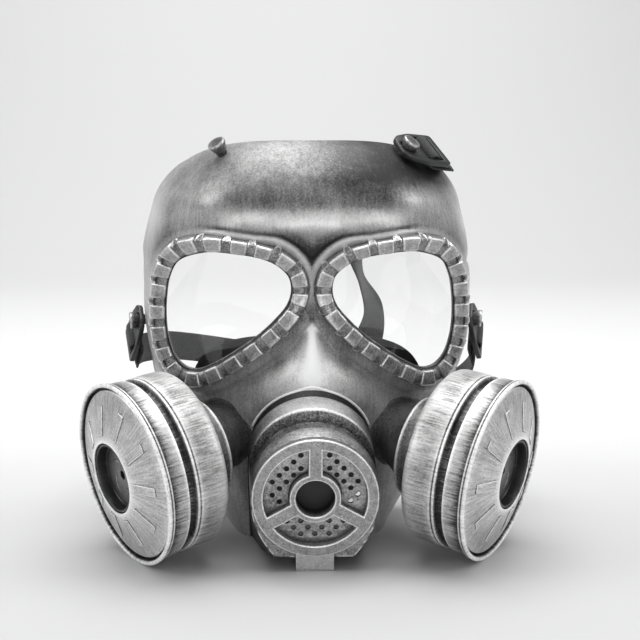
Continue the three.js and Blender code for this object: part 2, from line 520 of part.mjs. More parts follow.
// Snout, hollow behind a round mouth for the valve
const buildMuzzle = () => {
  const outer = loft(MUZZLE_STATIONS.map((row) => snoutRing(row, 0)));
  const inner = loft([{ ...MUZZLE_STATIONS[1], w: 7.4 }, ...MUZZLE_STATIONS.slice(2, -1),
    { ...MUZZLE_STATIONS.at(-1), w: 70 }].map((row, i) => snoutRing(
    { ...row, w: row.w + [0, -1.2, -2.4, 2.4, 2.4, -2.4, -2.4, 0][i] }, WALL, 16)));
  const mouth = new THREE.CylinderGeometry(PLATE.mouth, PLATE.mouth, 12, 24).rotateX(Math.PI / 2)
    .translate(0, 0, -6).applyMatrix4(snoutMatrix);
  return cut(outer, inner, mouth, belowFloor());
};
const buildCover = () => {
  const back = -VALVE.thick;
  const deep = -VALVE.hubDeep;
  const floor = deep + VALVE.hubFloor;
  const body = turned([
    { r: 0, h: deep }, { r: VALVE.hub, h: deep }, { r: VALVE.hub, h: back }, { r: VALVE.ring, h: back },
    { r: VALVE.ring, h: -0.8 }, { r: VALVE.ring - 0.8, h: 0 }, { r: VALVE.bore, h: 0 },
    { r: VALVE.bore, h: floor }, { r: 0, h: floor },
  ], 24);
  const windows = [0, 1, 2].map((i) => {
    const outline = new THREE.Shape();
    const edge = (r, side) => Math.PI / 2 + side * (Math.asin(VALVE.spoke / 2 / r));
    const [a0, a1] = [edge(VALVE.window, 1), edge(VALVE.window, -1) + (2 * Math.PI) / 3];
    const [b0, b1] = [edge(VALVE.hub, 1), edge(VALVE.hub, -1) + (2 * Math.PI) / 3];
    const arc = (r, from, to, n) => Array.from({ length: n + 1 }, (_, k) => from + ((to - from) * k) / n)
      .map((a) => new THREE.Vector2(r * Math.cos(a), r * Math.sin(a)));
    outline.setFromPoints([...arc(VALVE.window, a0, a1, 7), ...arc(VALVE.hub + 0.05, b1, b0, 5)]);
    return flatCut(outline, -VALVE.thick - 1, 1).rotateZ((i * 2 * Math.PI) / 3);
  });
  const disc = cut(body, ...windows);
  const tab = block(VALVE.tabWide, 24, VALVE.thick - VALVE.tabFront, 0, -VALVE.window - 15,
    -(VALVE.thick + VALVE.tabFront) / 2);
  return cut(join(disc, tab).applyMatrix4(snoutMatrix), belowFloor());
};
const circle = (x, y, r, sides) => new THREE.Path(Array.from({ length: sides }, (_, k) => {
  const a = (k * 2 * Math.PI) / sides;
  return new THREE.Vector2(x + r * Math.cos(a), y + r * Math.sin(a));
}));
const buildPlate = () => {
  const outline = new THREE.Shape().absarc(0, 0, PLATE.radius, 0, 2 * Math.PI);
  outline.holes.push(circle(0, 0, VALVE.hub + GAP, 18));
  const clearOfSpoke = (x, y, a) => x * Math.cos(a) + y * Math.sin(a) < 0
    || Math.abs(y * Math.cos(a) - x * Math.sin(a)) > PLATE.spokeHalf;
  for (let i = -8; i <= 8; i += 1) {
    for (let j = -8; j <= 8; j += 1) {
      const [x, y] = [i * PLATE.pitch, j * PLATE.pitch];
      const r = Math.hypot(x, y);
      const free = [90, 210, 330].every((a) => clearOfSpoke(x, y, THREE.MathUtils.degToRad(a)));
      if ((i + j) % 2 === 0 && r > PLATE.near && r < PLATE.far && free) {
        outline.holes.push(circle(x, y, PLATE.hole, PLATE.holeSides));
      }
    }
  }
  const depth = { depth: PLATE.thick, bevelEnabled: false, curveSegments: 12 };
  return clean(new THREE.ExtrudeGeometry(outline, depth).translate(0, 0, -PLATE.front - PLATE.thick))
    .applyMatrix4(snoutMatrix);
};

// Canister face with its raised bars
const canisterFace = () => {
  const [low, high] = [CANISTER_FACE[2], CANISTER_FACE[3]];
  const slope = Math.atan2(high.h - low.h, low.r - high.r);
  const bars = Array.from({ length: CANISTER.bars }, (_, i) => block(BAR.long, BAR.wide, BAR.high, 0, 0, 0)
    .rotateY(slope).translate(BAR.radius, 0, BAR.height).rotateZ(((i + 0.5) * 2 * Math.PI) / CANISTER.bars));
  return join(turned(CANISTER_FACE, CANISTER.around), ...bars);
};
const CANISTER_PIECES = {
  rear: () => turned(CANISTER_REAR, CANISTER.around),
  front: () => turned(CANISTER_FRONT, CANISTER.around),
  face: canisterFace,
  well: () => turned(CANISTER_WELL, CANISTER.around),
};

// Strap studs and slides
const buildStud = () => turned([
  { r: 0, h: STUD.seat }, { r: STUD.neck, h: STUD.seat }, { r: STUD.neck + 0.2, h: STUD.shoulder },
  { r: STUD.head, h: STUD.under }, { r: STUD.head, h: STUD.top - 0.5 }, { r: STUD.head - 0.6, h: STUD.top },
  { r: 0, h: STUD.top },
], 9);
const buildSlide = () => {
  const { back, front, narrow, wide, waist, corner } = BUCKLE;
  const half = [[back, narrow - 3.5], [back + 3, narrow], [waist, wide], [front - corner, wide],
    [front, wide - corner]];
  const outline = new THREE.Shape([...half, ...[...half].reverse().map(([x, y]) => [x, -y])]
    .map(([x, y]) => new THREE.Vector2(x, y)));
  const hole = new THREE.CylinderGeometry(BUCKLE.hole, BUCKLE.hole, 8, 14).rotateX(Math.PI / 2);
  const slots = SLOTS.map(({ from, to }) =>
    block(to - from, 2 * BUCKLE.slotHalf, 8, (from + to) / 2, 0, 0));
  return cut(flatCut(outline, -BUCKLE.thick / 2, BUCKLE.thick / 2), hole, ...slots);
};
const frameOn = (origin, normal, along) => {
  const x = along.clone().addScaledVector(normal, -along.dot(normal)).normalize();
  return new THREE.Matrix4().makeBasis(x, normal.clone().cross(x), normal).setPosition(origin);
};
const studAt = (s, z, sink = 0) => ({ origin: facePlus(s, z, -sink), normal: faceNormal(s, z) });
const SIDE = studAt(0.95, 108);
const TOP = studAt(0.55, 201.5);
const TOP_LEFT = studAt(-0.5, 202, 1.4);
const slideOn = ({ origin, normal }, along, lean) => {
  const seat = origin.clone().addScaledVector(normal, BUCKLE.seat);
  const flat = along.clone().addScaledVector(normal, -along.dot(normal)).normalize();
  const turn = new THREE.Quaternion().setFromAxisAngle(normal.clone().cross(flat).normalize(), -lean);
  return frameOn(seat, normal.clone().applyQuaternion(turn), flat.clone().applyQuaternion(turn));
};
const SIDE_SLIDE = slideOn(SIDE, V(0.05, 0.62, -0.79), THREE.MathUtils.degToRad(16));
const TOP_SLIDE = slideOn(TOP, V(0.75, 0.62, -0.2), THREE.MathUtils.degToRad(10));

// Flat strap through control rows that hold a point and the direction of its width
const ribbon = (rows) => {
  const curve = new THREE.CatmullRomCurve3(rows.map((row) => row.p), false, 'centripetal');
  const rings = [];
  rows.slice(0, -1).forEach((row, i) => {
    const next = rows[i + 1];
    const steps = Math.max(1, Math.round(row.p.distanceTo(next.p) / STRAP.step));
    for (let k = 0; k < steps + (i === rows.length - 2 ? 1 : 0); k += 1) {
      const t = (i + k / steps) / (rows.length - 1);
      const along = curve.getTangent(Math.min(1, t));
      const wide = row.w.clone().lerp(next.w, k / steps);
      wide.addScaledVector(along, -wide.dot(along)).normalize().multiplyScalar(STRAP.wide / 2);
      const thick = along.clone().cross(wide).normalize().multiplyScalar(STRAP.thick / 2);
      const p = curve.getPoint(Math.min(1, t));
      rings.push([[1, 1], [-1, 1], [-1, -1], [1, -1]]
        .map(([a, b]) => p.clone().addScaledVector(wide, a).addScaledVector(thick, b)));
    }
  });
  return clean(loft(rings));
};
const weave = (slide) => {
  const wide = V(0, 1, 0).transformDirection(slide);
  return WEAVE.map(({ along, out }) => ({ p: V(along, 0, out).applyMatrix4(slide), w: wide.clone() }));
};
const buildBand = () => {
  const right = weave(SIDE_SLIDE);
  const left = right.map((row) => ({ p: V(-row.p.x, row.p.y, row.p.z), w: V(-row.w.x, row.w.y, row.w.z) }));
  const sign = Math.sign(right[0].w.z);
  const run = BAND.map(({ x, y, z }, i) => {
    const near = x < 0 ? left[0].w : right[0].w;
    const share = smooth((Math.min(i, BAND.length - 1 - i) + 1) / 3);
    const wide = near.clone().multiplyScalar(sign).lerp(V(0, 0, 1), share);
    return { p: V(x, y, z), w: wide.multiplyScalar(sign) };
  });
  return ribbon([...left, ...run, ...right.reverse()]);
};
const buildTopStrap = () => {
  const lead = weave(TOP_SLIDE);
  const run = TOP_RUN.map(({ x, y, z, wx, wy, wz }) => ({ p: V(x, y, z), w: V(wx, wy, wz).normalize() }));
  const sign = Math.sign(lead[0].w.dot(run[0].w));
  run.forEach((row) => row.w.multiplyScalar(sign));
  return ribbon([...lead, ...run]);
};

// Assembly
const mask = new THREE.Group();
mask.name = 'respirator_mask';
const add = (name, geometry, material) => {
  const mesh = new THREE.Mesh(clean(geometry.clone().translate(0, FRAME_SHIFT_Y, 0)), material);
  mesh.name = name;
  mask.add(mesh);
};
const pair = (name, right, material) => {
  add(`${name}_left`, mirror(right), material);
  add(`${name}_right`, right, material);
};
add('shell', buildShell(), PAINT);
pair('eye_rim', buildRim(), PAINT);
pair('lens', buildLens(), CLEAR);
add('nose_cup', buildCup(), RUBBER);
add('muzzle', buildMuzzle(), PAINT);
add('valve_cover', buildCover(), PAINT);
add('valve_plate', buildPlate(), DARK);
Object.entries(CANISTER_PIECES).forEach(([name, build]) => {
  const right = build().applyMatrix4(canisterMatrix);
  add(`canister_left_${name}`, mirror(right), name === 'well' ? DARK : BRIGHT);
  add(`canister_right_${name}`, right, name === 'well' ? DARK : BRIGHT);
});
const stud = (at) => buildStud().applyMatrix4(frameOn(at.origin, at.normal, V(0, 1, 0)));
add('stud_top_left', stud(TOP_LEFT), PAINT);
add('stud_top_right', stud(TOP), PAINT);
pair('stud_side', stud(SIDE), PAINT);
add('buckle_top_right', buildSlide().applyMatrix4(TOP_SLIDE), PLASTIC);
pair('buckle_side', buildSlide().applyMatrix4(SIDE_SLIDE), PLASTIC);
add('band_strap', buildBand(), WEBBING);
add('top_strap', buildTopStrap(), WEBBING);

export default mask;
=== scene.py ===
"""Looks of a costume respirator mask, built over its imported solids.

Sizes are in millimetres in the part's own frame: +Z up, the face looks along -Y.
A span holds a start and a width, a band holds a middle and a width.
"""

from __future__ import annotations

import logging
import math
from dataclasses import dataclass, field, fields
from enum import Enum
from functools import cache
from typing import Callable, ClassVar, Sequence

import bmesh
import bpy
import numpy as np
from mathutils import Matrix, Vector
from mathutils.geometry import tessellate_polygon


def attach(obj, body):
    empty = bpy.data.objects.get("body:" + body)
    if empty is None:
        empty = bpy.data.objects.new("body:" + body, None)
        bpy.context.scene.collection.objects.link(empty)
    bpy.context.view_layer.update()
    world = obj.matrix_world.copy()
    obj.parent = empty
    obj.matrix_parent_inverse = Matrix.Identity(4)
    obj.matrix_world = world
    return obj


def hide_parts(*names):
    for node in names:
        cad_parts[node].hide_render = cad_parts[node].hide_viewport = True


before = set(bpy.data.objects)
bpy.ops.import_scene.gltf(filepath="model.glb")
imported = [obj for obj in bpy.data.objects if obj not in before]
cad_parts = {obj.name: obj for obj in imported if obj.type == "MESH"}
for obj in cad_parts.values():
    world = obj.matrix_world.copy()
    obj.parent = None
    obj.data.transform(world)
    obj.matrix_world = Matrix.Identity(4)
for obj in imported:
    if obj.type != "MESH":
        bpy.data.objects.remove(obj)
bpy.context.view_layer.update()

LOG = logging.getLogger("mask")
MM = 0.001
# the part's source moves every solid back by this, so that its box is centred
FRAME_SHIFT_Y = 1.0
# points within this many millimetres are one, and edges under this many metres go
WELD_REACH = 0.01
LEAST_EDGE = 1e-6
# brush coordinates of turned pieces: radius of the marks and their share along the piece
BRUSH_RADIUS = 45.0
BRUSH_ALONG = 0.1
BODY = "root"
MIRROR = np.array([-1.0, 1.0, 1.0])
Array = np.ndarray
Point2 = tuple[float, float]
Point3 = tuple[float, float, float]
Rows = tuple[tuple[float, ...], ...]
Faces = Sequence[Sequence[int]]
Piece = bpy.types.Object
Socket = bpy.types.NodeSocket
Inputs = dict[str | int, object]


class Side(Enum):
    """The two sides of the mask, with the sign of their X."""

    LEFT = -1
    RIGHT = 1

    @property
    def word(self) -> str:
        """Word of the side in piece names."""
        return self.name.lower()


class Mark(Enum):
    """Values kept on each point, each with its number of columns and its start value."""

    COVER = ("cover", 1, 0.5)
    WEAR = ("wear", 1, 0.0)
    BRUSH = ("brush", 3, 0.0)
    RUN = ("run", 2, 0.0)

    def __init__(self, word: str, wide: int, start: float) -> None:
        """Keeps the name, the columns and the value where none is given."""
        self.word, self.wide, self.start = word, wide, start


def smooth(t: Array | float) -> Array:
    """Smooth step from 0 to 1."""
    u = np.clip(t, 0.0, 1.0)
    return u * u * (3 - 2 * u)


def unit(v: Array) -> Array:
    """Vectors of length one."""
    return v / np.maximum(np.linalg.norm(v, axis=-1, keepdims=True), 1e-9)


def hermite(t: Array, a: Array, ma: Array, b: Array, mb: Array) -> Array:
    """Cubic between a and b with end slopes ma and mb."""
    return (
        (2 * t**3 - 3 * t**2 + 1) * a
        + (t**3 - 2 * t**2 + t) * ma
        + (3 * t**2 - 2 * t**3) * b
        + (t**3 - t**2) * mb
    )


def rise(t: Array | float, start: float, width: float) -> Array:
    """Smooth step up from a start over a width."""
    return smooth((t - start) / width)


def fall(t: Array | float, start: float, width: float) -> Array:
    """Smooth step up as a value goes down from a start over a width."""
    return smooth((start - t) / width)


def bell(t: Array, middle: float, width: Array | float) -> Array:
    """Bell curve of height one about a middle."""
    return np.exp(-(((t - middle) / width) ** 2))


def angles(count: int) -> Array:
    """Even angles round a circle, in radians."""
    return np.arange(count) * 2 * math.pi / count


def run_length(line: Array) -> Array:
    """Length along a line of points, from zero at its first."""
    return np.concatenate([[0], np.cumsum(np.linalg.norm(np.diff(line, axis=0), axis=1))])


def outward_of(line: Array) -> Array:
    """Directions out of a closed outline that starts at its top."""
    tangent = unit(np.roll(line, -1, 0) - np.roll(line, 1, 0))
    out = np.column_stack([-tangent[:, 1], tangent[:, 0]])
    return out if out[0, 1] > 0 else -out


def aimed(turn: float, dip: float) -> tuple[Array, Array, Array]:
    """Axis turned outward and dipped from the front by degrees, with its side and up directions."""
    out, down = math.radians(turn), math.radians(dip)
    axis = np.array([math.sin(out) * math.cos(down), -math.cos(out) * math.cos(down), -math.sin(down)])
    side = unit(np.cross([0.0, 0.0, 1.0], axis))
    return axis, side, np.cross(axis, side)


def bent(start: Array, corner: Array, end: Array, steps: int) -> list[Array]:
    """Points on the bend from a start to an end that a corner draws outward."""
    shares = np.linspace(0, 1, steps + 1)
    return [(1 - t) ** 2 * start + 2 * t * (1 - t) * corner + t**2 * end for t in shares]


def through(points: Array, count: int, closed: bool) -> Array:
    """Even points on the centripetal curve through given points.

    Args:
        points: Control points, one a row.
        count: How many points to return.
        closed: True where the last point joins the first.

    Returns:
        The points, evenly spaced along the curve.
    """
    p = np.asarray(points, float)
    if closed:
        p = np.vstack([p[-1], p, p[0], p[1]])
    else:
        p = np.vstack([2 * p[0] - p[1], p, 2 * p[-1] - p[-2]])
    fine = []
    t = np.linspace(0, 1, 40, endpoint=False)[:, None]
    for a, b, c, d in zip(p[:-3], p[1:-2], p[2:-1], p[3:]):
        e, f, g = (max(np.linalg.norm(q) ** 0.5, 1e-4) for q in (b - a, c - b, d - c))
        start = ((b - a) / e - (c - a) / (e + f) + (c - b) / f) * f
        end = ((c - b) / f - (d - b) / (f + g) + (d - c) / g) * f
        fine.append(hermite(t, b, start, c, end))
    line = np.vstack([*fine, p[-2][None]])
    run = run_length(line)
    want = np.linspace(0, run[-1], count, endpoint=not closed)
    return np.column_stack([np.interp(want, run, line[:, k]) for k in range(line.shape[1])])


def outline_distance(x: Array, z: Array, outline: Array) -> Array:
    """Signed distance to a closed outline, negative inside it.

    Args:
        x: First coordinates of the points.
        z: Second coordinates of the points.
        outline: Corners of the outline, one a row.

    Returns:
        One distance a point.
    """
    best = np.full(x.shape, 1e9)
    inside = np.zeros(x.shape, bool)
    for (ax, az), (bx, bz) in zip(outline, np.roll(outline, -1, axis=0)):
        ex, ez = bx - ax, bz - az
        t = np.clip(((x - ax) * ex + (z - az) * ez) / max(ex * ex + ez * ez, 1e-9), 0, 1)
        best = np.minimum(best, np.hypot(x - ax - t * ex, z - az - t * ez))
        if az != bz:
            crosses = ((az > z) != (bz > z)) & (x < ax + (z - az) / (bz - az) * ex)
            inside ^= crosses
    return np.where(inside, -best, best)


def quad_faces(rows: int, columns: int, loop_rows: bool = False, loop_columns: bool = False) -> Array:
    """Four-sided faces of a grid of points.

    Args:
        rows: Rows of points.
        columns: Points in a row.
        loop_rows: True where the last row joins the first.
        loop_columns: True where the last column joins the first.

    Returns:
        Four point numbers a face.
    """
    r = np.arange(rows if loop_rows else rows - 1)[:, None]
    c = np.arange(columns if loop_columns else columns - 1)[None, :]
    down, right = (r + 1) % rows, (c + 1) % columns
    corners = [r * columns + c, r * columns + right, down * columns + right, down * columns + c]
    return np.stack(corners, -1).reshape(-1, 4)


@dataclass
class Form:
    """Points and faces of a piece, with the values that its finish reads."""

    points: list[Array] = field(default_factory=list)
    faces: list[tuple[int, ...]] = field(default_factory=list)
    marks: dict[Mark, list[Array]] = field(default_factory=lambda: {mark: [] for mark in Mark})
    count: int = 0

    def add(self, points: Array, faces: Faces, **marks: Array | float) -> None:
        """Adds points and the faces between them.

        Args:
            points: The new points.
            faces: Faces by the new points' own numbers.
            **marks: Values by the name of their mark, for each point or for all.
        """
        p = np.asarray(points, float).reshape(-1, 3)
        self.points.append(p)
        self.faces += [tuple(int(i) + self.count for i in f) for f in faces]
        for mark in Mark:
            plain = p if mark is Mark.BRUSH else np.full(mark.wide, mark.start)
            value = np.asarray(marks.get(mark.word, plain), float).reshape(-1, mark.wide)
            self.marks[mark].append(np.broadcast_to(value, (len(p), mark.wide)))
        self.count += len(p)

    def grid(self, points: Array, loop_rows: bool = False, loop_columns: bool = False,
             **marks: Array | float) -> None:
        """Adds a grid of points as four-sided faces.

        Args:
            points: Points by row, column and axis.
            loop_rows: True where the last row joins the first.
            loop_columns: True where the last column joins the first.
            **marks: Values for add, by row and column.
        """
        rows, columns = points.shape[:2]
        flat = {}
        for mark in Mark:
            if mark.word in marks:
                size = (rows, columns) if mark.wide == 1 else (rows, columns, mark.wide)
                flat[mark.word] = np.broadcast_to(marks[mark.word], size).reshape(-1, mark.wide)
        self.add(points, quad_faces(rows, columns, loop_rows, loop_columns), **flat)

    def cap(self, ring: Array, **marks: Array | float) -> None:
        """Closes a ring of points with a fan about its middle."""
        n = len(ring)
        self.add(np.vstack([ring, ring.mean(0)]), [(i, (i + 1) % n, n) for i in range(n)], **marks)

    def moved(self, change: Callable[[Array], Array]) -> Form:
        """The same form with its points changed, and its marks kept."""
        marks = {mark: list(values) for mark, values in self.marks.items()}
        return Form([change(p) for p in self.points], list(self.faces), marks, self.count)

    def mirrored(self) -> Form:
        """The form on the other side of the middle plane."""
        return self.moved(lambda p: p * MIRROR)

    def join(self, other: Form) -> None:
        """Takes in all of another form."""
        self.faces += [tuple(i + self.count for i in f) for f in other.faces]
        self.points += other.points
        for mark in Mark:
            self.marks[mark] += other.marks[mark]
        self.count += other.count

    def mesh(self, name: str, sharp: float, mirror: bool = False) -> Piece:
        """Blender object of the form, welded, facing out and shaded.

        Args:
            name: Name of the object.
            sharp: Angle in degrees above which an edge stays sharp.
            mirror: True for the form on the other side of the middle plane.

        Returns:
            The linked object.
        """
        form = self.mirrored() if mirror else self
        made = bpy.data.meshes.new(name)
        place = (np.vstack(form.points) + np.array([0, FRAME_SHIFT_Y, 0])) * MM
        made.from_pydata(place.tolist(), [], form.faces)
        for mark, values in form.marks.items():
            flat = np.vstack(values).astype(np.float32)
            if mark is not Mark.RUN:
                kind, column = ("FLOAT", "value") if mark.wide == 1 else ("FLOAT_VECTOR", "vector")
                made.attributes.new(mark.word, kind, "POINT").data.foreach_set(column, flat.ravel())
            elif np.any(flat):
                layer = made.uv_layers.new(name=mark.word)
                corner = np.empty(len(made.loops), np.int64)
                made.loops.foreach_get("vertex_index", corner)
                layer.data.foreach_set("uv", flat[corner].ravel())
        weld(made)
        made.shade_smooth()
        made.set_sharp_from_angle(angle=math.radians(sharp))
        piece = bpy.data.objects.new(name, made)
        bpy.context.scene.collection.objects.link(piece)
        return piece


def weld(mesh: bpy.types.Mesh) -> None:
    """Joins points that lie together and turns the faces outwards."""
    body = bmesh.new()
    body.from_mesh(mesh)
    bmesh.ops.remove_doubles(body, verts=body.verts, dist=WELD_REACH * MM)
    bmesh.ops.dissolve_degenerate(body, edges=body.edges, dist=LEAST_EDGE)
    bmesh.ops.recalc_face_normals(body, faces=body.faces)
    body.to_mesh(mesh)
    body.free()


def clipped(points: Array, faces: Faces, level: Array) -> tuple[Array, list[tuple[int, ...]]]:
    """Cuts a mesh where a value on its points falls below zero.

    Args:
        points: Points with any further columns that are to be carried along.
        faces: Faces by point number.
        level: Value on each point, kept where it is above zero.

    Returns:
        The kept points with those on the cut, and the kept faces.
    """
    extra: list[Array] = []
    on_edge: dict[tuple[int, int], int] = {}
    kept: list[tuple[int, ...]] = []
    count = len(points)

    def crossing(a: int, b: int) -> int:
        """Number of the point where the edge from a to b is cut."""
        key = (min(a, b), max(a, b))
        if key not in on_edge:
            i, j = key
            t = level[i] / (level[i] - level[j])
            extra.append(points[i] + (points[j] - points[i]) * t)
            on_edge[key] = count + len(extra) - 1
        return on_edge[key]

    keep = level >= 0
    for f in faces:
        inside = [keep[i] for i in f]
        if all(inside):
            kept.append(tuple(f))
        elif any(inside):
            new = []
            for a, b in zip(f, (*f[1:], f[0])):
                if keep[a]:
                    new.append(a)
                if keep[a] != keep[b]:
                    new.append(crossing(a, b))
            if len(new) >= 3:
                kept.append(tuple(new))
    merged = np.vstack([points, np.array(extra)]) if extra else points
    used = np.unique(np.concatenate([np.array(f) for f in kept]))
    number = np.full(len(merged), -1)
    number[used] = np.arange(len(used))
    return merged[used], [tuple(number[list(f)]) for f in kept]


FACE_ROWS = (
    # z, y on the middle line, then x and y of four stations out to the rear edge
    (0, -44, 20, -44, 36, -38, 46, -4, 56, 24),
    (25, -46, 22, -46, 39, -38, 56, -8, 68, 25),
    (50, -48, 22, -48, 42, -38, 63, -14, 78, 26),
    (75, -52, 20, -50, 46, -39, 73, -17, 86, 27),
    (95, -56, 20, -52, 48, -42, 78, -20, 89, 27),
    (115, -58, 22, -53, 50, -45, 80, -22, 90.5, 27),
    (132, -54, 24, -53, 52, -46, 80.5, -22, 91, 26),
    (150, -57, 26, -55, 54, -47, 80, -20, 89.5, 24),
    (165, -63, 28, -60, 55, -48, 79, -18, 86.5, 20),
    (177, -67, 29, -63, 56, -48, 77, -16, 83, 14),
    (188, -62, 29, -58, 54, -44, 71, -13, 76, 7),
    (198, -55, 27, -51, 48, -37, 60.5, -12, 64.5, -2),
    (206, -46, 24, -42, 40, -30, 48, -16, 51, -10),
    (211, -36, 18, -33, 28, -26, 33, -19, 35, -15),
)
EYE_CORNERS = (
    (52, 154.5), (36, 154), (25, 152), (16.5, 148), (11, 142), (9.8, 134.5), (12, 126.5), (18, 119),
    (26.5, 111), (38, 102.3), (48.5, 95), (57.2, 90.8), (64.5, 91), (70.6, 96.5), (73.9, 106), (75, 117),
    (74.5, 128), (72.3, 139.5), (66.5, 149.5),
)


@dataclass
class FaceForm:
    """Smooth surface of the face moulding, which the other pieces sit on."""

    flange_high: float = 2.0
    flange_reach: float = 12.5
    flange_fade: float = 3.5
    flange_thin: float = 2.6
    flange_draw: float = 2.2
    flange_swell: float = 20.0
    nose_high: float = 6.5
    nose_width: float = 6.5
    nose_widening: float = 7.0
    crease_deep: float = 1.1
    brow_high: float = 1.9
    hollow_deep: float = 3.6
    brow_bend: float = 0.0016
    upper_span: Point2 = (138, 12)
    draw_span: Point2 = (14, 16)
    thin_span: Point2 = (114, 24)
    crease_band: Point2 = (0.5, 0.9)
    crease_span: Point2 = (44, 16)
    widen_span: Point2 = (112, 26)
    nose_top: Point2 = (123, 27)
    nose_foot: Point2 = (70, 16)
    brow_band: Point2 = (168, 5.2)
    hollow_band: Point2 = (178, 6.4)
    brow_span: Point2 = (34, 20)
    outline: Array = field(init=False)

    def __post_init__(self) -> None:
        """Prepares the slopes between the sections and the eye outline."""
        table = np.array(FACE_ROWS, float)
        self._z, self._rows = table[:, 0], table[:, 1:]
        gap = np.diff(self._z)[:, None]
        steep = np.diff(self._rows, axis=0) / gap
        slope = np.zeros_like(self._rows)
        slope[0], slope[-1] = steep[0], steep[-1]
        p, q = 2 * gap[1:] + gap[:-1], gap[1:] + 2 * gap[:-1]
        same = steep[:-1] * steep[1:] > 0
        below, above = np.where(same, steep[:-1], 1), np.where(same, steep[1:], 1)
        slope[1:-1] = np.where(same, (p + q) / (p / below + q / above), 0)
        self._slope = slope
        self.outline = through(np.array(EYE_CORNERS, float), 240, True)

    def plan(self, s: Array, z: Array) -> Array:
        """Points of the bare surface.

        Args:
            s: Station from -1 at the left rear edge to 1 at the right one.
            z: Height.

        Returns:
            The points.
        """
        s, z = np.broadcast_arrays(np.asarray(s, float), np.asarray(z, float))
        level = np.clip(z, self._z[0], self._z[-1])
        k = np.clip(np.searchsorted(self._z, level, side="right") - 1, 0, len(self._z) - 2)
        high = (self._z[k + 1] - self._z[k])[..., None]
        t = (level - self._z[k])[..., None] / high
        row = hermite(t, self._rows[k], self._slope[k] * high, self._rows[k + 1], self._slope[k + 1] * high)
        xs = [-row[..., 1], 0 * row[..., 1], row[..., 1], row[..., 3], row[..., 5], row[..., 7],
              2 * row[..., 7] - row[..., 5]]
        ys = [row[..., 2], row[..., 0], row[..., 2], row[..., 4], row[..., 6], row[..., 8],
              2 * row[..., 8] - row[..., 6]]
        a = np.minimum(3.999999, np.abs(s) * 4)
        i = np.floor(a).astype(int)

        def along(values: list[Array]) -> Array:
            """Value between the stations about each point."""
            e = np.stack(values, -1)
            take = [np.take_along_axis(e, (i + n)[..., None], -1)[..., 0] for n in range(4)]
            return hermite(a - i, take[1], (take[2] - take[0]) / 2, take[2], (take[3] - take[1]) / 2)

        return np.stack([np.sign(s) * along(xs), along(ys), z], -1)

    def normal(self, s: Array, z: Array) -> Array:
        """Outward directions of the bare surface."""
        across = self.plan(s + 0.01, z) - self.plan(s - 0.01, z)
        up = self.plan(s, z + 0.8) - self.plan(s, z - 0.8)
        return unit(np.cross(across, up))

    def station(self, x: Array, z: Array) -> Array:
        """Station of the surface at a place seen from the front."""
        x, z = np.broadcast_arrays(np.asarray(x, float), np.asarray(z, float))
        low, high = np.zeros(x.shape), np.ones(x.shape)
        for _ in range(28):
            mid = (low + high) / 2
            past = self.plan(mid, z)[..., 0] > np.abs(x)
            low, high = np.where(past, low, mid), np.where(past, mid, high)
        return np.where(x < 0, -1, 1) * (low + high) / 2

    def eye_distance(self, x: Array, z: Array) -> Array:
        """Distance outside the nearer eye opening, negative inside it."""
        return outline_distance(np.abs(x), z, self.outline)

    def past_flange(self, x: Array, z: Array, upper: Array) -> Array:
        """Distance outside the flange, whose edge draws in by the share of upper."""
        draw = self.flange_draw * upper * rise(np.abs(x), *self.draw_span)
        return self.eye_distance(x, z) - self.flange_reach + draw

    def relief(self, x: Array, z: Array) -> Array:
        """Height of the flange round the eyes, of the nose ridge and of the brow over its crease."""
        out, upper = np.abs(x), rise(z, *self.upper_span)
        past = self.past_flange(x, z, upper)
        fade = self.flange_fade - self.flange_thin * rise(z, *self.thin_span)
        flange = self.flange_high * (1 - smooth(past / fade))
        swell = self.flange_high * upper * (1 - smooth(past / self.flange_swell))
        crease = self.crease_deep * upper * bell(past, *self.crease_band)
        crease = crease * (1 - rise(out, *self.crease_span))
        wide = self.nose_width + self.nose_widening * fall(z, *self.widen_span)
        ridge = self.nose_high * bell(x, 0, wide) * fall(z, *self.nose_top) * rise(z, *self.nose_foot)
        level = z + self.brow_bend * x**2
        hollow = self.hollow_deep * bell(level, *self.hollow_band)
        brow = self.brow_high * bell(level, *self.brow_band) - hollow
        high = np.maximum(np.maximum(flange, swell), ridge) - crease
        return high + brow * (1 - rise(out, *self.brow_span))

    def depth(self, p: Array) -> Array:
        """Y of the bare surface in front of or behind points."""
        return self.plan(self.station(p[:, 0], p[:, 2]), p[:, 2])[:, 1]

    def over(self, x: Array, z: Array, lift: Array | float) -> Array:
        """Points at a height over the finished surface, by place seen from the front."""
        s = self.station(x, z)
        p = self.plan(s, z)
        high = np.asarray(lift + self.relief(p[..., 0], p[..., 2]), float)
        return p + self.normal(s, z) * high[..., None]

    def at(self, s: float, z: float, lift: float = 0.0) -> tuple[Array, Array]:
        """Point over the surface and the outward direction there."""
        sa, za = np.array([s]), np.array([z])
        p, n = self.plan(sa, za), self.normal(sa, za)
        return (p + n * (lift + self.relief(p[..., 0], za))[..., None])[0], n[0]


@dataclass(frozen=True)
class SnoutFrame:
    """Axes of the snout: u to +X, v up across its axis, w back along it."""

    y: float = -100.0
    z: float = 39.5
    droop: float = 13.0

    def out(self, u: Array, v: Array, w: Array) -> Array:
        """Points in the part's frame."""
        c, s = math.cos(math.radians(self.droop)), math.sin(math.radians(self.droop))
        u, v, w = np.broadcast_arrays(np.asarray(u, float), v, w)
        return np.stack([u, self.y + w * c - v * s, self.z + w * s + v * c], -1)

    def back(self, p: Array) -> tuple[Array, Array, Array]:
        """Coordinates of points along the snout's axes."""
        c, s = math.cos(math.radians(self.droop)), math.sin(math.radians(self.droop))
        y, z = p[..., 1] - self.y, p[..., 2] - self.z
        return p[..., 0], z * c - y * s, y * c + z * s


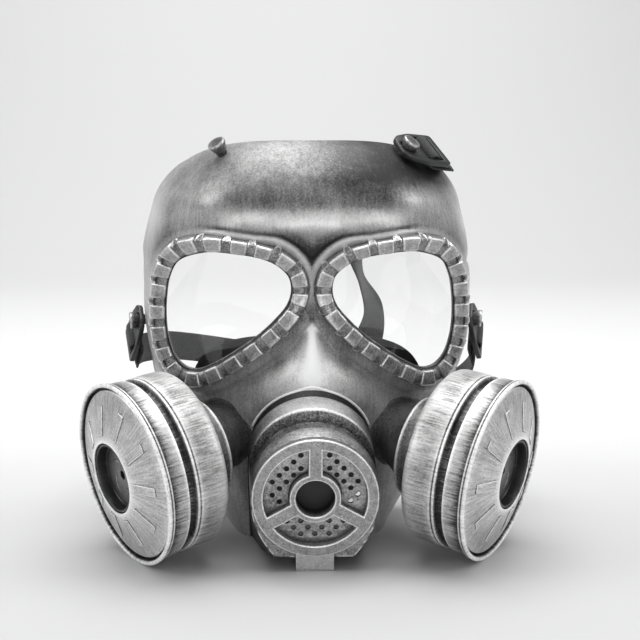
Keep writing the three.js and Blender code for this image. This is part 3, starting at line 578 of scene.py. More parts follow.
@dataclass(frozen=True)
class CanisterFrame:
    """Axes of a canister on the +X side, whose lower rim stands on the floor."""

    x: float = 95.1
    y: float = -82.7
    radius: float = 47.0
    rim_back: float = 1.2
    out_deg: float = 57.6
    down_deg: float = 7.9

    def place(self, p: Array) -> Array:
        """Points of the canister's own axes in the part's frame."""
        axis, side, up = aimed(self.out_deg, self.down_deg)
        down = math.radians(self.down_deg)
        high = self.radius * math.cos(down) - self.rim_back * math.sin(down)
        return np.array([self.x, self.y, high]) + p[..., 0:1] * up + p[..., 1:2] * side + p[..., 2:3] * axis


FACE = FaceForm()
SNOUT = SnoutFrame()
CAN = CanisterFrame()


def round_brush(p: Array) -> Array:
    """Brush coordinates for marks along the radius and the axis of a turned piece."""
    r = np.linalg.norm(p[..., :2], axis=-1, keepdims=True)
    return np.concatenate([BRUSH_RADIUS * unit(p[..., :2]), BRUSH_ALONG * (p[..., 2:] - r)], -1)


def turned(form: Form, profile: Sequence[Sequence[float]], around: int) -> None:
    """Adds a surface turned about the local Z axis.

    Args:
        form: Form that takes the surface.
        profile: Rows of radius, height, cover and wear.
        around: Points round the axis.
    """
    rows, a = np.array(profile, float), angles(around)
    radius, high = rows[:, 0:1], rows[:, 1:2]
    points = np.stack([radius * np.cos(a), radius * np.sin(a), high * np.ones(around)], -1)
    form.grid(points, loop_columns=True, cover=rows[:, 2:3], wear=rows[:, 3:4], brush=round_brush(points))


def offset(loop: Array, distance: float) -> Array:
    """A closed outline moved to its left by a distance."""
    ahead, behind = unit(np.roll(loop, -1, 0) - loop), unit(loop - np.roll(loop, 1, 0))
    left = np.stack([-ahead[:, 1] - behind[:, 1], ahead[:, 0] + behind[:, 0]], -1)
    left = unit(left)
    cosine = np.maximum(0.4, left[:, 1] * ahead[:, 0] - left[:, 0] * ahead[:, 1])
    return loop + left * (distance / cosine)[:, None]


def plate(
    form: Form,
    loops: Sequence[Array],
    levels: Sequence[Sequence[float]],
    place: Callable[[Array], Array],
    backed: bool = True,
) -> None:
    """Adds a flat piece with rounded edges.

    Args:
        form: Form that takes the piece.
        loops: Outline anticlockwise, then openings clockwise.
        levels: Rows of inset, height, cover and wear from the back up to the front.
        place: Turns local points into the part's frame.
        backed: True where the back is closed too.
    """
    columns = np.array(levels, float)
    for loop in loops:
        rings = [np.column_stack([offset(loop, row[0]), np.full(len(loop), row[1])]) for row in levels]
        form.grid(place(np.stack(rings)), loop_columns=True, cover=columns[:, 2:3], wear=columns[:, 3:4])
    for inset, height, cover, wear in [levels[-1]] + ([levels[0]] if backed else []):
        flats = [offset(loop, inset) for loop in loops]
        triangles = tessellate_polygon([[Vector((x, y, 0)) for x, y in f] for f in flats])
        flat = np.vstack(flats)
        points = place(np.column_stack([flat, np.full(len(flat), height)]))
        form.add(points, triangles, cover=cover, wear=wear)


def circle(radius: float, sides: int, x: float = 0.0, y: float = 0.0, turns: int = 1) -> Array:
    """Points of a circle, anticlockwise where turns is 1 and clockwise where it is -1."""
    a = angles(sides) * turns
    return np.column_stack([x + radius * np.cos(a), y + radius * np.sin(a)])


def rounded(corners: Sequence[Point2], radius: float, steps: int) -> Array:
    """Closed outline with each corner rounded.

    Args:
        corners: Corners in order.
        radius: Radius that each corner takes, less where an edge is short.
        steps: Segments in each corner.

    Returns:
        The outline.
    """
    p = np.array(corners, float)
    made = []
    for a, b, c in zip(np.roll(p, 1, 0), p, np.roll(p, -1, 0)):
        into, onward = a - b, c - b
        cut = min(radius, 0.45 * np.linalg.norm(into), 0.45 * np.linalg.norm(onward))
        made += bent(b + unit(into) * cut, b, b + unit(onward) * cut, steps)
    return np.array(made)


class NodeBook:
    """Small helper that places shader nodes and links them."""

    def __init__(self, tree: bpy.types.NodeTree) -> None:
        """Takes the tree that the nodes go into."""
        self.tree = tree

    def feed(self, node: bpy.types.Node, inputs: Inputs) -> None:
        """Links sockets to inputs of a node, or sets their values."""
        for name, value in inputs.items():
            if isinstance(value, Socket):
                self.tree.links.new(value, node.inputs[name])
            else:
                node.inputs[name].default_value = value

    def node(self, kind: str, inputs: Inputs | None = None, **settings: object) -> bpy.types.Node:
        """Makes a node.

        Args:
            kind: Blender's name of the node type.
            inputs: Values or sockets for its inputs.
            **settings: Settings of the node.

        Returns:
            The node.
        """
        made = self.tree.nodes.new(kind)
        for name, value in settings.items():
            setattr(made, name, value)
        self.feed(made, inputs or {})
        return made

    def math(self, operation: str, a: object, b: object = 0.0) -> Socket:
        """Result of a sum on two values."""
        return self.node("ShaderNodeMath", {0: a, 1: b}, operation=operation).outputs[0]

    def mix(self, factor: object, a: object, b: object) -> Socket:
        """Mix of two colours by a factor."""
        return self.node("ShaderNodeMix", {0: factor, 6: a, 7: b}, data_type="RGBA").outputs[2]

    def noise(self, vector: object, scale: object, detail: float, rough: float = 0.55) -> Socket:
        """Noise value at a place."""
        inputs = {"Vector": vector, "Scale": scale, "Detail": detail, "Roughness": rough}
        return self.node("ShaderNodeTexNoise", inputs).outputs[0]

    def spread(self, value: object, low: float, high: float, to_low: object = 0.0,
               to_high: object = 1.0) -> Socket:
        """Value moved from one range to another, with soft ends."""
        inputs = {0: value, 1: low, 2: high, 3: to_low, 4: to_high}
        return self.node("ShaderNodeMapRange", inputs, interpolation_type="SMOOTHSTEP").outputs[0]

    def bump(self, height: object, strength: float, distance: float) -> Socket:
        """Normal of a surface with fine relief."""
        inputs = {"Height": height, "Strength": strength, "Distance": distance}
        return self.node("ShaderNodeBump", inputs).outputs[0]

    def place(self) -> Socket:
        """Coordinates in the part's frame."""
        return self.node("ShaderNodeTexCoord").outputs["Object"]


def grey(value: float, warm: float = 0.0) -> tuple[float, float, float, float]:
    """Grey colour, slightly warm where warm is above zero."""
    return (value * (1 + warm), value, value * (1 - warm), 1.0)


def new_group(name: str, inputs: dict[str, Sequence[str]],
              outputs: dict[str, Sequence[str]]) -> tuple[NodeBook, bpy.types.NodeOutputs]:
    """Empty shader group with named sockets.

    Args:
        name: Name of the group.
        inputs: Names of the inputs, by their kind.
        outputs: Names of the outputs, by their kind.

    Returns:
        The group's node helper and the sockets that its inputs come in by.
    """
    group = bpy.data.node_groups.new(name, "ShaderNodeTree")
    for way, kinds in (("INPUT", inputs), ("OUTPUT", outputs)):
        for kind, words in kinds.items():
            for word in words:
                group.interface.new_socket(name=word, in_out=way, socket_type=f"NodeSocket{kind}")
    book = NodeBook(group)
    return book, book.node("NodeGroupInput").outputs


@cache
def brushed_group() -> bpy.types.NodeTree:
    """Silver paint rubbed over a dark base, with brush marks, mottling and speckle."""
    book, start = new_group(
        "brushed_silver",
        {
            "Vector": ("Brush", "Place"),
            "Color": ("Dark", "Silver"),
            "Float": ("Cover", "Wear", "Edge", "Streak", "Streak Scale", "Mottle", "Mottle Scale", "Speckle",
                      "Speckle Scale", "Dark Rough", "Silver Rough", "Dark Metal", "Silver Metal"),
        },
        {"Color": ("Color",), "Float": ("Roughness", "Metallic", "Height")},
    )
    streak = book.noise(start["Brush"], start["Streak Scale"], 5.0, 0.65)
    mottle = book.noise(start["Place"], start["Mottle Scale"], 4.0, 0.6)
    speckle = book.noise(start["Place"], start["Speckle Scale"], 2.0, 0.6)
    total = start["Cover"]
    for value, amount in ((streak, "Streak"), (mottle, "Mottle"), (speckle, "Speckle")):
        centred = book.math("MULTIPLY", book.math("SUBTRACT", value, 0.5), 2.0)
        total = book.math("ADD", total, book.math("MULTIPLY", centred, start[amount]))
    rubbed = book.math("MULTIPLY", start["Wear"], book.spread(speckle, 0.25, 0.6, 0.65, 1.0))
    total = book.math("ADD", total, book.math("MULTIPLY", rubbed, start["Edge"]))
    thin = book.mix(book.spread(total, 0.0, 1.0), start["Dark"], start["Silver"])
    # above a total of 0.85 the colour turns pale grey and the metal drops: thicker silver paint and, where the
    # cover is highest as on the nose ridge, a painted highlight
    thick = book.spread(total, 0.85, 1.3)
    metal = book.spread(total, 0.0, 0.7, start["Dark Metal"], start["Silver Metal"])
    dulled = book.math("SUBTRACT", 1.0, book.math("MULTIPLY", thick, 0.8))
    book.node("NodeGroupOutput", {
        "Color": book.mix(thick, thin, grey(0.93)),
        "Roughness": book.spread(total, 0.0, 1.0, start["Dark Rough"], start["Silver Rough"]),
        "Metallic": book.math("MULTIPLY", metal, dulled),
        "Height": book.math("ADD", book.math("MULTIPLY", speckle, 0.6), book.math("MULTIPLY", streak, 0.4)),
    })
    return book.tree


@cache
def grain_group() -> bpy.types.NodeTree:
    """Fine grain and faint scuffs of moulded plastic and rubber."""
    book, start = new_group(
        "moulded_grain",
        {"Vector": ("Place",), "Color": ("Color", "Light"), "Float": ("Scale", "Amount", "Rough")},
        {"Color": ("Color",), "Float": ("Roughness", "Height")},
    )
    broad = book.noise(start["Place"], 70.0, 4.0)
    scuff = book.math("MULTIPLY", book.spread(broad, 0.45, 0.75), start["Amount"])
    book.node("NodeGroupOutput", {
        "Color": book.mix(scuff, start["Color"], start["Light"]),
        "Roughness": book.math("ADD", start["Rough"], book.math("MULTIPLY", scuff, 0.2)),
        "Height": book.noise(start["Place"], start["Scale"], 2.0),
    })
    return book.tree


@cache
def weave_group() -> bpy.types.NodeTree:
    """Ribbed elastic webbing, with the run along the strap in the first coordinate."""
    book, start = new_group(
        "webbing_weave",
        {"Vector": ("Run",), "Color": ("Color", "Light"), "Float": ("Along", "Across")},
        {"Color": ("Color",), "Float": ("Height",)},
    )
    split = book.node("ShaderNodeSeparateXYZ", {0: start["Run"]}).outputs
    turn = book.math("DIVIDE", split[0], start["Along"])
    rib = book.math("DIVIDE", split[1], start["Across"])
    shift = book.math("MULTIPLY", book.math("FLOOR", rib), 0.5)
    wave = book.math("SINE", book.math("MULTIPLY", book.math("ADD", turn, shift), 2 * math.pi))
    ridge = book.math("ABSOLUTE", book.math("SINE", book.math("MULTIPLY", rib, math.pi)))
    high = book.math("ADD", book.math("MULTIPLY", wave, 0.35), book.math("MULTIPLY", ridge, 0.5))
    # the colour follows the rib height, lighter on the crests and darker between the ribs: painted shade and
    # highlight of the weave
    book.node("NodeGroupOutput", {
        "Color": book.mix(book.spread(high, -0.2, 0.9), start["Color"], start["Light"]),
        "Height": high,
    })
    return book.tree


def new_material(name: str) -> tuple[bpy.types.Material, NodeBook, bpy.types.Node]:
    """Material with a bare Principled shader.

    Args:
        name: Name of the material.

    Returns:
        The material, its node helper and its shader node.
    """
    material = bpy.data.materials.new(name)
    material.use_nodes = True
    material.node_tree.nodes.clear()
    book = NodeBook(material.node_tree)
    shader = book.node("ShaderNodeBsdfPrincipled")
    book.node("ShaderNodeOutputMaterial", {"Surface": shader.outputs[0]})
    return material, book, shader


@dataclass(frozen=True)
class BrushedPaint:
    """Antique silver paint brushed over a dark base."""

    name: str
    dark: float = 0.012
    silver: float = 0.62
    dark_rough: float = 0.42
    silver_rough: float = 0.38
    streak_scale: float = 0.35
    streak: float = 0.2
    mottle_scale: float = 60.0
    mottle: float = 0.25
    speckle_scale: float = 1100.0
    speckle: float = 0.25
    edge: float = 0.6
    bump: float = 0.15
    dark_metal: float = 0.25
    silver_metal: float = 0.85

    def make(self) -> bpy.types.Material:
        """The finished material."""
        material, book, shader = new_material(self.name)
        paint = book.node("ShaderNodeGroup", {"Place": book.place()}, node_tree=brushed_group())
        for mark, output in ((Mark.COVER, "Fac"), (Mark.WEAR, "Fac"), (Mark.BRUSH, "Vector")):
            value = book.node("ShaderNodeAttribute", attribute_name=mark.word).outputs[output]
            book.feed(paint, {mark.word.title(): value})
        values = {f.name.replace("_", " ").title(): getattr(self, f.name) for f in fields(self)}
        values |= {"Dark": grey(self.dark), "Silver": grey(self.silver, 0.004)}
        book.feed(paint, {name: value for name, value in values.items() if name in paint.inputs})
        out = paint.outputs
        book.feed(shader, {
            "Base Color": out["Color"], "Roughness": out["Roughness"], "Metallic": out["Metallic"],
            "Normal": book.bump(out["Height"], self.bump, 0.0004),
        })
        return material


@dataclass(frozen=True)
class MouldedFinish:
    """Moulded plastic or rubber with a fine grain."""

    name: str
    color: float
    light: float
    rough: float
    amount: float = 0.4
    scale: float = 1400.0
    bump: float = 0.2
    shine: float = 0.5

    def make(self) -> bpy.types.Material:
        """The finished material."""
        material, book, shader = new_material(self.name)
        out = book.node("ShaderNodeGroup", {
            "Place": book.place(), "Scale": self.scale, "Color": grey(self.color, -0.03),
            "Light": grey(self.light, -0.02), "Amount": self.amount, "Rough": self.rough,
        }, node_tree=grain_group()).outputs
        book.feed(shader, {
            "Base Color": out["Color"], "Roughness": out["Roughness"], "Specular IOR Level": self.shine,
            "Normal": book.bump(out["Height"], self.bump, 0.0003),
        })
        return material


@dataclass(frozen=True)
class Webbing:
    """Dark woven elastic strap."""

    name: str = "woven_elastic"
    color: float = 0.008
    # colour of the rib crests, the painted highlight of the weave
    light: float = 0.024
    along: float = 1.5
    across: float = 1.1
    bump: float = 0.6
    rough: float = 0.8
    sheen: float = 0.1

    def make(self) -> bpy.types.Material:
        """The finished material."""
        material, book, shader = new_material(self.name)
        out = book.node("ShaderNodeGroup", {
            "Run": book.node("ShaderNodeUVMap", uv_map=Mark.RUN.word).outputs[0],
            "Color": grey(self.color, -0.03), "Light": grey(self.light, -0.03),
            "Along": self.along, "Across": self.across,
        }, node_tree=weave_group()).outputs
        book.feed(shader, {
            "Base Color": out["Color"], "Roughness": self.rough, "Sheen Weight": self.sheen,
            "Normal": book.bump(out["Height"], self.bump, 0.0004),
        })
        return material


@dataclass(frozen=True)
class ClearSheet:
    """Thin clear plastic of the eye windows."""

    name: str = "clear_sheet"
    color: tuple[float, float, float, float] = (0.97, 0.975, 0.98, 1)
    opacity: float = 0.05
    rough: float = 0.04
    ior: float = 1.45

    def make(self) -> bpy.types.Material:
        """The finished material."""
        material, book, shader = new_material(self.name)
        book.feed(shader, {
            "Base Color": self.color, "Roughness": self.rough, "IOR": self.ior, "Transmission Weight": 1.0,
            "Alpha": self.opacity,
        })
        return material


# the finish of each of the record's material slots
FINISHES: dict[str, BrushedPaint | MouldedFinish | Webbing | ClearSheet] = {
    "shell_paint": BrushedPaint("shell_silver", silver=0.72, silver_rough=0.48, silver_metal=0.45,
                                mottle=0.16, streak=0.16, streak_scale=0.5, speckle=0.18),
    "rim_paint": BrushedPaint("rim_silver", speckle=0.3, mottle_scale=220.0, edge=0.62),
    "muzzle_paint": BrushedPaint("muzzle_silver", silver=0.74, silver_metal=0.5, silver_rough=0.45,
                                 speckle=0.35),
    "valve_paint": BrushedPaint("valve_silver", silver=0.66, speckle=0.35, speckle_scale=1500.0, mottle=0.1),
    "plate_paint": BrushedPaint("plate_silver", speckle=0.4, speckle_scale=900.0),
    "canister_paint": BrushedPaint("canister_silver", silver=0.66, streak=0.6, streak_scale=1.0, mottle=0.4,
                                   mottle_scale=55.0, speckle=0.2, silver_rough=0.48, silver_metal=0.4),
    "face_paint": BrushedPaint("face_silver", silver=0.88, streak=0.4, streak_scale=0.8, mottle=0.15,
                               silver_rough=0.45),
    "well_paint": BrushedPaint("well_dark", silver=0.42, speckle=0.15, mottle=0.2),
    "stud_paint": BrushedPaint("stud_silver", speckle=0.3),
    "rubber": MouldedFinish("soft_rubber", color=0.005, light=0.01, rough=0.7, shine=0.15),
    "buckle_plastic": MouldedFinish("charcoal_plastic", color=0.013, light=0.035, rough=0.38),
    "webbing": Webbing(),
    "clear_lens": ClearSheet(),
}


def hand_over(piece: Piece, looks: dict[str, bpy.types.Material], slot: str, node: str) -> None:
    """Dresses a finished piece and ties it to the frame.

    Args:
        piece: The piece.
        looks: The material of each slot.
        slot: The record's material slot.
        node: The solid that it stands for.
    """
    piece.name = f"{node}_skin"
    piece.data.materials.append(looks[slot])
    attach(piece, BODY)
    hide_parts(node)
    LOG.info("%s: %d faces", piece.name, len(piece.data.polygons))


@dataclass
class Shell:
    """Face moulding with its flanges, nose, hood lip and canister necks."""

    columns: int = 236
    rows: int = 176
    bottom: float = -3.0
    jaw_rise: float = 30.0
    top: float = 209.0
    top_drop: float = 14.0
    wall: float = 2.4
    hood_radius: float = 31.4
    hood_front: float = 52.4
    hood_sweep: float = 5.5
    hood_spread: float = 74.0
    hood_reach: float = 15.0
    peak_out: float = 6.5
    peak_high: float = 4.0
    peak_spread: float = 30.0
    bore: float = 15.5
    neck_around: int = 64
    neck_rows: Rows = (
        # x, y, z, radius, turn and dip of each ring
        (64.35, -63.2, 51.4, 25.5, 57.6, 7.9),
        (54.3, -56.8, 53.1, 25.5, 57.6, 7.9),
        (50.8, -44, 54, 20, 44, 3),
    )
    collar_rows: Rows = (
        # scale, place along the axis, wear and cover of the neck's collar
        (1.0, -4.0, 0, 0.2), (1.0, -1.9, 0.1, 0.2), (1.012, -1.2, 0.7, 0.3), (1.012, -0.5, 0.9, 0.3),
        (0.985, 0.1, 0.5, 0.2), (0.93, 0.4, 0, 0.14), (0.84, 0.5, 0, 0.16),
    )
    toe_reach: float = 5.0
    toe_sink: float = 0.6
    bore_middle: Point3 = (50.0, -38.0, 54.0)
    bore_turn: float = 44.0

    def peak(self, a: Array) -> Array:
        """Share of the hood's peak, by angle from the top."""
        return bell(np.degrees(a), 0, self.peak_spread)

    def lip_front(self, a: Array) -> Array:
        """Place of the hood lip along the snout axis, by angle from the top."""
        sweep = self.hood_sweep * (np.degrees(a) / self.hood_spread) ** 2
        return self.hood_front + sweep - self.peak_out * self.peak(a)

    def lip_radius(self, a: Array) -> Array:
        """Distance of the hood lip from the snout axis, by angle from the top."""
        return self.hood_radius + self.peak_high * self.peak(a)

    def surface(self) -> tuple[Array, Array]:
        """Points of the outer surface, with the station in a fourth column, and its faces."""
        s, steps = np.linspace(-1, 1, self.columns + 1)[None, :], np.linspace(0, 1, 401)
        dense = np.interp(steps, [0, 0.36, 0.42, 0.82, 0.88, 1], [1, 1, 2.4, 2.4, 1, 1])
        reach = np.cumsum(dense) - dense[0]
        share = np.interp(np.linspace(0, 1, self.rows + 1), reach / reach[-1], steps)[:, None]
        high = self.top - self.top_drop * np.abs(s) ** 3
        low = self.bottom + self.jaw_rise * rise(np.abs(s), 0.72, 0.28)
        z = low + (high - low) * share
        s = np.broadcast_to(s, z.shape)
        p = FACE.plan(s, z)
        p = p + FACE.normal(s, z) * FACE.relief(p[..., 0], z)[..., None]
        u, v, w = SNOUT.back(p)
        r, a = np.hypot(u, v), np.abs(np.arctan2(u, v))
        near = 1 - smooth((r - self.lip_radius(a) - 1) / self.hood_reach)
        near = near * (1 - rise(np.degrees(a), 62, 26))
        push = np.minimum(0, self.lip_front(a) + 0.3 - w) * near
        p = SNOUT.out(u, v, w + push)
        return np.concatenate([p, s[..., None]], -1).reshape(-1, 4), quad_faces(*z.shape)

    def mouth_outline(self) -> Array:
        """Opening for the snout, across the snout's axis."""
        u, v, _ = SNOUT.back(Muzzle().ring(66.0, inset=-0.4))
        a, r = np.arctan2(u, v), np.hypot(u, v)
        lift = (1 - rise(np.abs(np.degrees(a)), 60, 25)) * (self.lip_radius(a) - r)
        r = r + np.maximum(0, lift)
        return np.column_stack([r * np.sin(a), r * np.cos(a)])

    def cover(self, p: Array, s: Array) -> Array:
        """Share of silver on the outside, by place, with painted highlights, shade and reflection among its
        terms.

        Args:
            p: Points.
            s: Their stations.

        Returns:
            One share a point.
        """
        x, z = np.abs(p[:, 0]), p[:, 2]
        upper = rise(z, *FACE.upper_span) * (1 - 0.8 * rise(x, *FACE.crease_span))
        past = FACE.past_flange(p[:, 0], z, upper)
        temple = rise(np.abs(s), 0.66, 0.14) * rise(z, 95, 30)
        # strength of the painted shade over the top of the forehead, which grows to the right
        right = 0.12 + 0.3 * rise(p[:, 0], -12, 40)
        wide = 2.0 + 2.0 * fall(z, 117, 26)
        ridge = 0.75 * bell(x, 0, wide) + 0.32 * bell(x, 0, 2.6 * wide)
        shares = {
            "all over": 0.27,
            "forehead": 0.20 * rise(z, 150, 18),
            # painted reflection: lighter silver on the shaded cheeks
            "painted cheek reflection": 0.16 * fall(z, 112, 20) * rise(x, 14, 10),
            # painted highlight along the brow ridge
            "brow": 0.28 * bell(z, 169.5, 5) * (1 - rise(x, 40, 20)),
            # painted shade in the hollow over the brow
            "hollow": -0.22 * bell(z, 180, 6) * (1 - rise(x, 36, 16)),
            "temples": 0.32 * temple * (1 - 0.7 * rise(z, 168, 14)),
            # painted shade over the top of the forehead, most on the right side
            "top": -right * rise(z, 178, 14),
            "flange": (0.55 - 0.4 * rise(x, 34, 16)) * bell(past, -2.5, 2.5) * rise(z, 120, 20),
            # painted shade in the crease over the flange
            "crease": -0.34 * bell(past, 0.7, 1.3) * upper,
            "shade over the crease": -0.20 * bell(past, 3.5, 3.0) * upper,
            "nose bridge": -0.22 * bell(p[:, 0], 0, 9) * bell(z, 139, 14),
            # brighter nose ridge: rubbed silver and a painted highlight
            "nose": ridge * (1 - rise(z, 113, 8)) * rise(z, 80, 14),
            "skin": 0.06 * self.skin(p),
        }
        return sum(shares.values())

    def skin(self, p: Array) -> Array:
        """Share of the speckled silver on the nose and over the hood lip."""
        x, z = np.abs(p[:, 0]), p[:, 2]
        half = 14 + 8 * fall(z, 100, 20)
        return np.exp(-((x / half) ** 4)) * rise(z, 70, 8) * (1 - rise(z, 92, 22))

    def neck(self, form: Form) -> None:
        """Adds the stub that joins the +X cheek to its canister."""
        n, rings = self.neck_around, []
        a = angles(n)[:, None]
        for x, y, z, radius, turn, dip in self.neck_rows:
            _, side, up = aimed(turn, dip)
            rings.append(np.array([x, y, z]) + radius * (side * np.cos(a) + up * np.sin(a)))
        low, high = np.zeros(n), np.full(n, 3.0)
        step = rings[2] - rings[1]
        for _ in range(30):
            mid = (low + high) / 2
            q = rings[1] + step * mid[:, None]
            inside = q[:, 1] > FACE.depth(q)
            low, high = np.where(inside, low, mid), np.where(inside, mid, high)
        foot = rings[1] + step * ((low + high) / 2)[:, None]
        toe = foot + unit(foot - foot.mean(0)) * self.toe_reach
        toe[:, 1] = FACE.depth(toe) + self.toe_sink
        mouth, end = rings[0].mean(0), rings[1].mean(0)
        inward = unit(end - mouth)
        rows = [rings[0] + (mouth - rings[0]) * 0.09, rings[0], rings[0] + (rings[1] - rings[0]) * 0.06]
        marks = [(0.2, 0.1), (0.5, 0.2), (0.2, 0.22)]
        for scale, along, rub, share in self.collar_rows:
            rows.append(end + (rings[1] - end) * scale + inward * along)
            marks.append((rub, share))
        bend = bent(rows[-1] + (foot - rows[-1]) * 0.4, foot, toe, 8)
        wear, cover = np.array(marks + [(0.0, 0.2)] * len(bend)).T
        form.grid(np.stack(rows + bend), loop_columns=True, cover=cover[:, None], wear=wear[:, None])

    def lip(self, form: Form) -> None:
        """Adds the rolled edge of the hood over the collar."""
        a, section = np.radians(np.linspace(-92, 92, 81)), angles(14)
        fade = 1 - rise(np.abs(np.degrees(a)), 66, 24)
        thick = 0.3 + 0.5 * fade
        r = self.lip_radius(a)[:, None] + 0.35 + thick[:, None] * np.cos(section)[None]
        w = (self.lip_front(a) + 0.9)[:, None] + (thick * 1.25)[:, None] * np.sin(section)[None]
        point = 1.2 * bell(np.degrees(a), 0, 9)[:, None]
        points = SNOUT.out(r * np.sin(a)[:, None], (r + point) * np.cos(a)[:, None], w)
        form.grid(points, loop_columns=True, cover=(0.35 + 0.55 * fade)[:, None], wear=fade[:, None])

    def walled(self, points: Array, faces: list[tuple[int, ...]]) -> Form:
        """The outer surface with its wall, whose edges at the eyes run straight back.

        Args:
            points: Points of the outer surface, with the station in a fourth column.
            faces: Faces between them.

        Returns:
            The outside, the inside and the edges between them.
        """
        p, n = points[:, :3], len(points)
        normal, edges = np.zeros_like(p), {}
        for f in faces:
            corner = p[list(f)]
            normal[list(f)] += np.cross(corner[1] - corner[0], corner[-1] - corner[0])
            edges.update(dict.fromkeys(zip(f, (*f[1:], f[0]))))
        normal = unit(normal)
        straight = (1 - smooth(FACE.eye_distance(p[:, 0], p[:, 2]) / 7))[:, None]
        back = np.array([0.0, 1.0, 0.0]) / np.maximum(0.4, -normal[:, 1:2])
        inner = p + self.wall * (back * straight - normal * (1 - straight))
        both = np.vstack([p, inner])
        inside = [tuple(i + n for i in f[::-1]) for f in faces]
        rim = [(b, a, a + n, b + n) for a, b in edges if (b, a) not in edges]
        form = Form()
        form.add(both, [*faces, *inside, *rim],
                 cover=np.concatenate([self.cover(p, points[:, 3]), np.full(n, 0.06)]),
                 wear=np.concatenate([0.9 * self.skin(p), np.zeros(n)]), brush=both * np.array([1, 1, 0.12]))
        return form

    def build(self) -> Piece:
        """Builds the moulding as one mesh."""
        points, faces = self.surface()
        points, faces = clipped(points, faces, FACE.eye_distance(points[:, 0], points[:, 2]))
        u, v, _ = SNOUT.back(points[:, :3])
        points, faces = clipped(points, faces, outline_distance(u, v, self.mouth_outline()))
        axis, _, _ = aimed(self.bore_turn, 0)
        for sign in (1, -1):
            away = points[:, :3] * np.array([sign, 1, 1]) - np.array(self.bore_middle)
            across = np.linalg.norm(away - (away @ axis)[:, None] * axis, axis=1)
            points, faces = clipped(points, faces, across - self.bore)
        points, faces = clipped(points, faces, points[:, 2])
        form, trim = self.walled(points, faces), Form()
        self.neck(trim)
        trim.join(trim.mirrored())
        self.lip(trim)
        form.join(trim)
        return form.mesh("shell", 50)


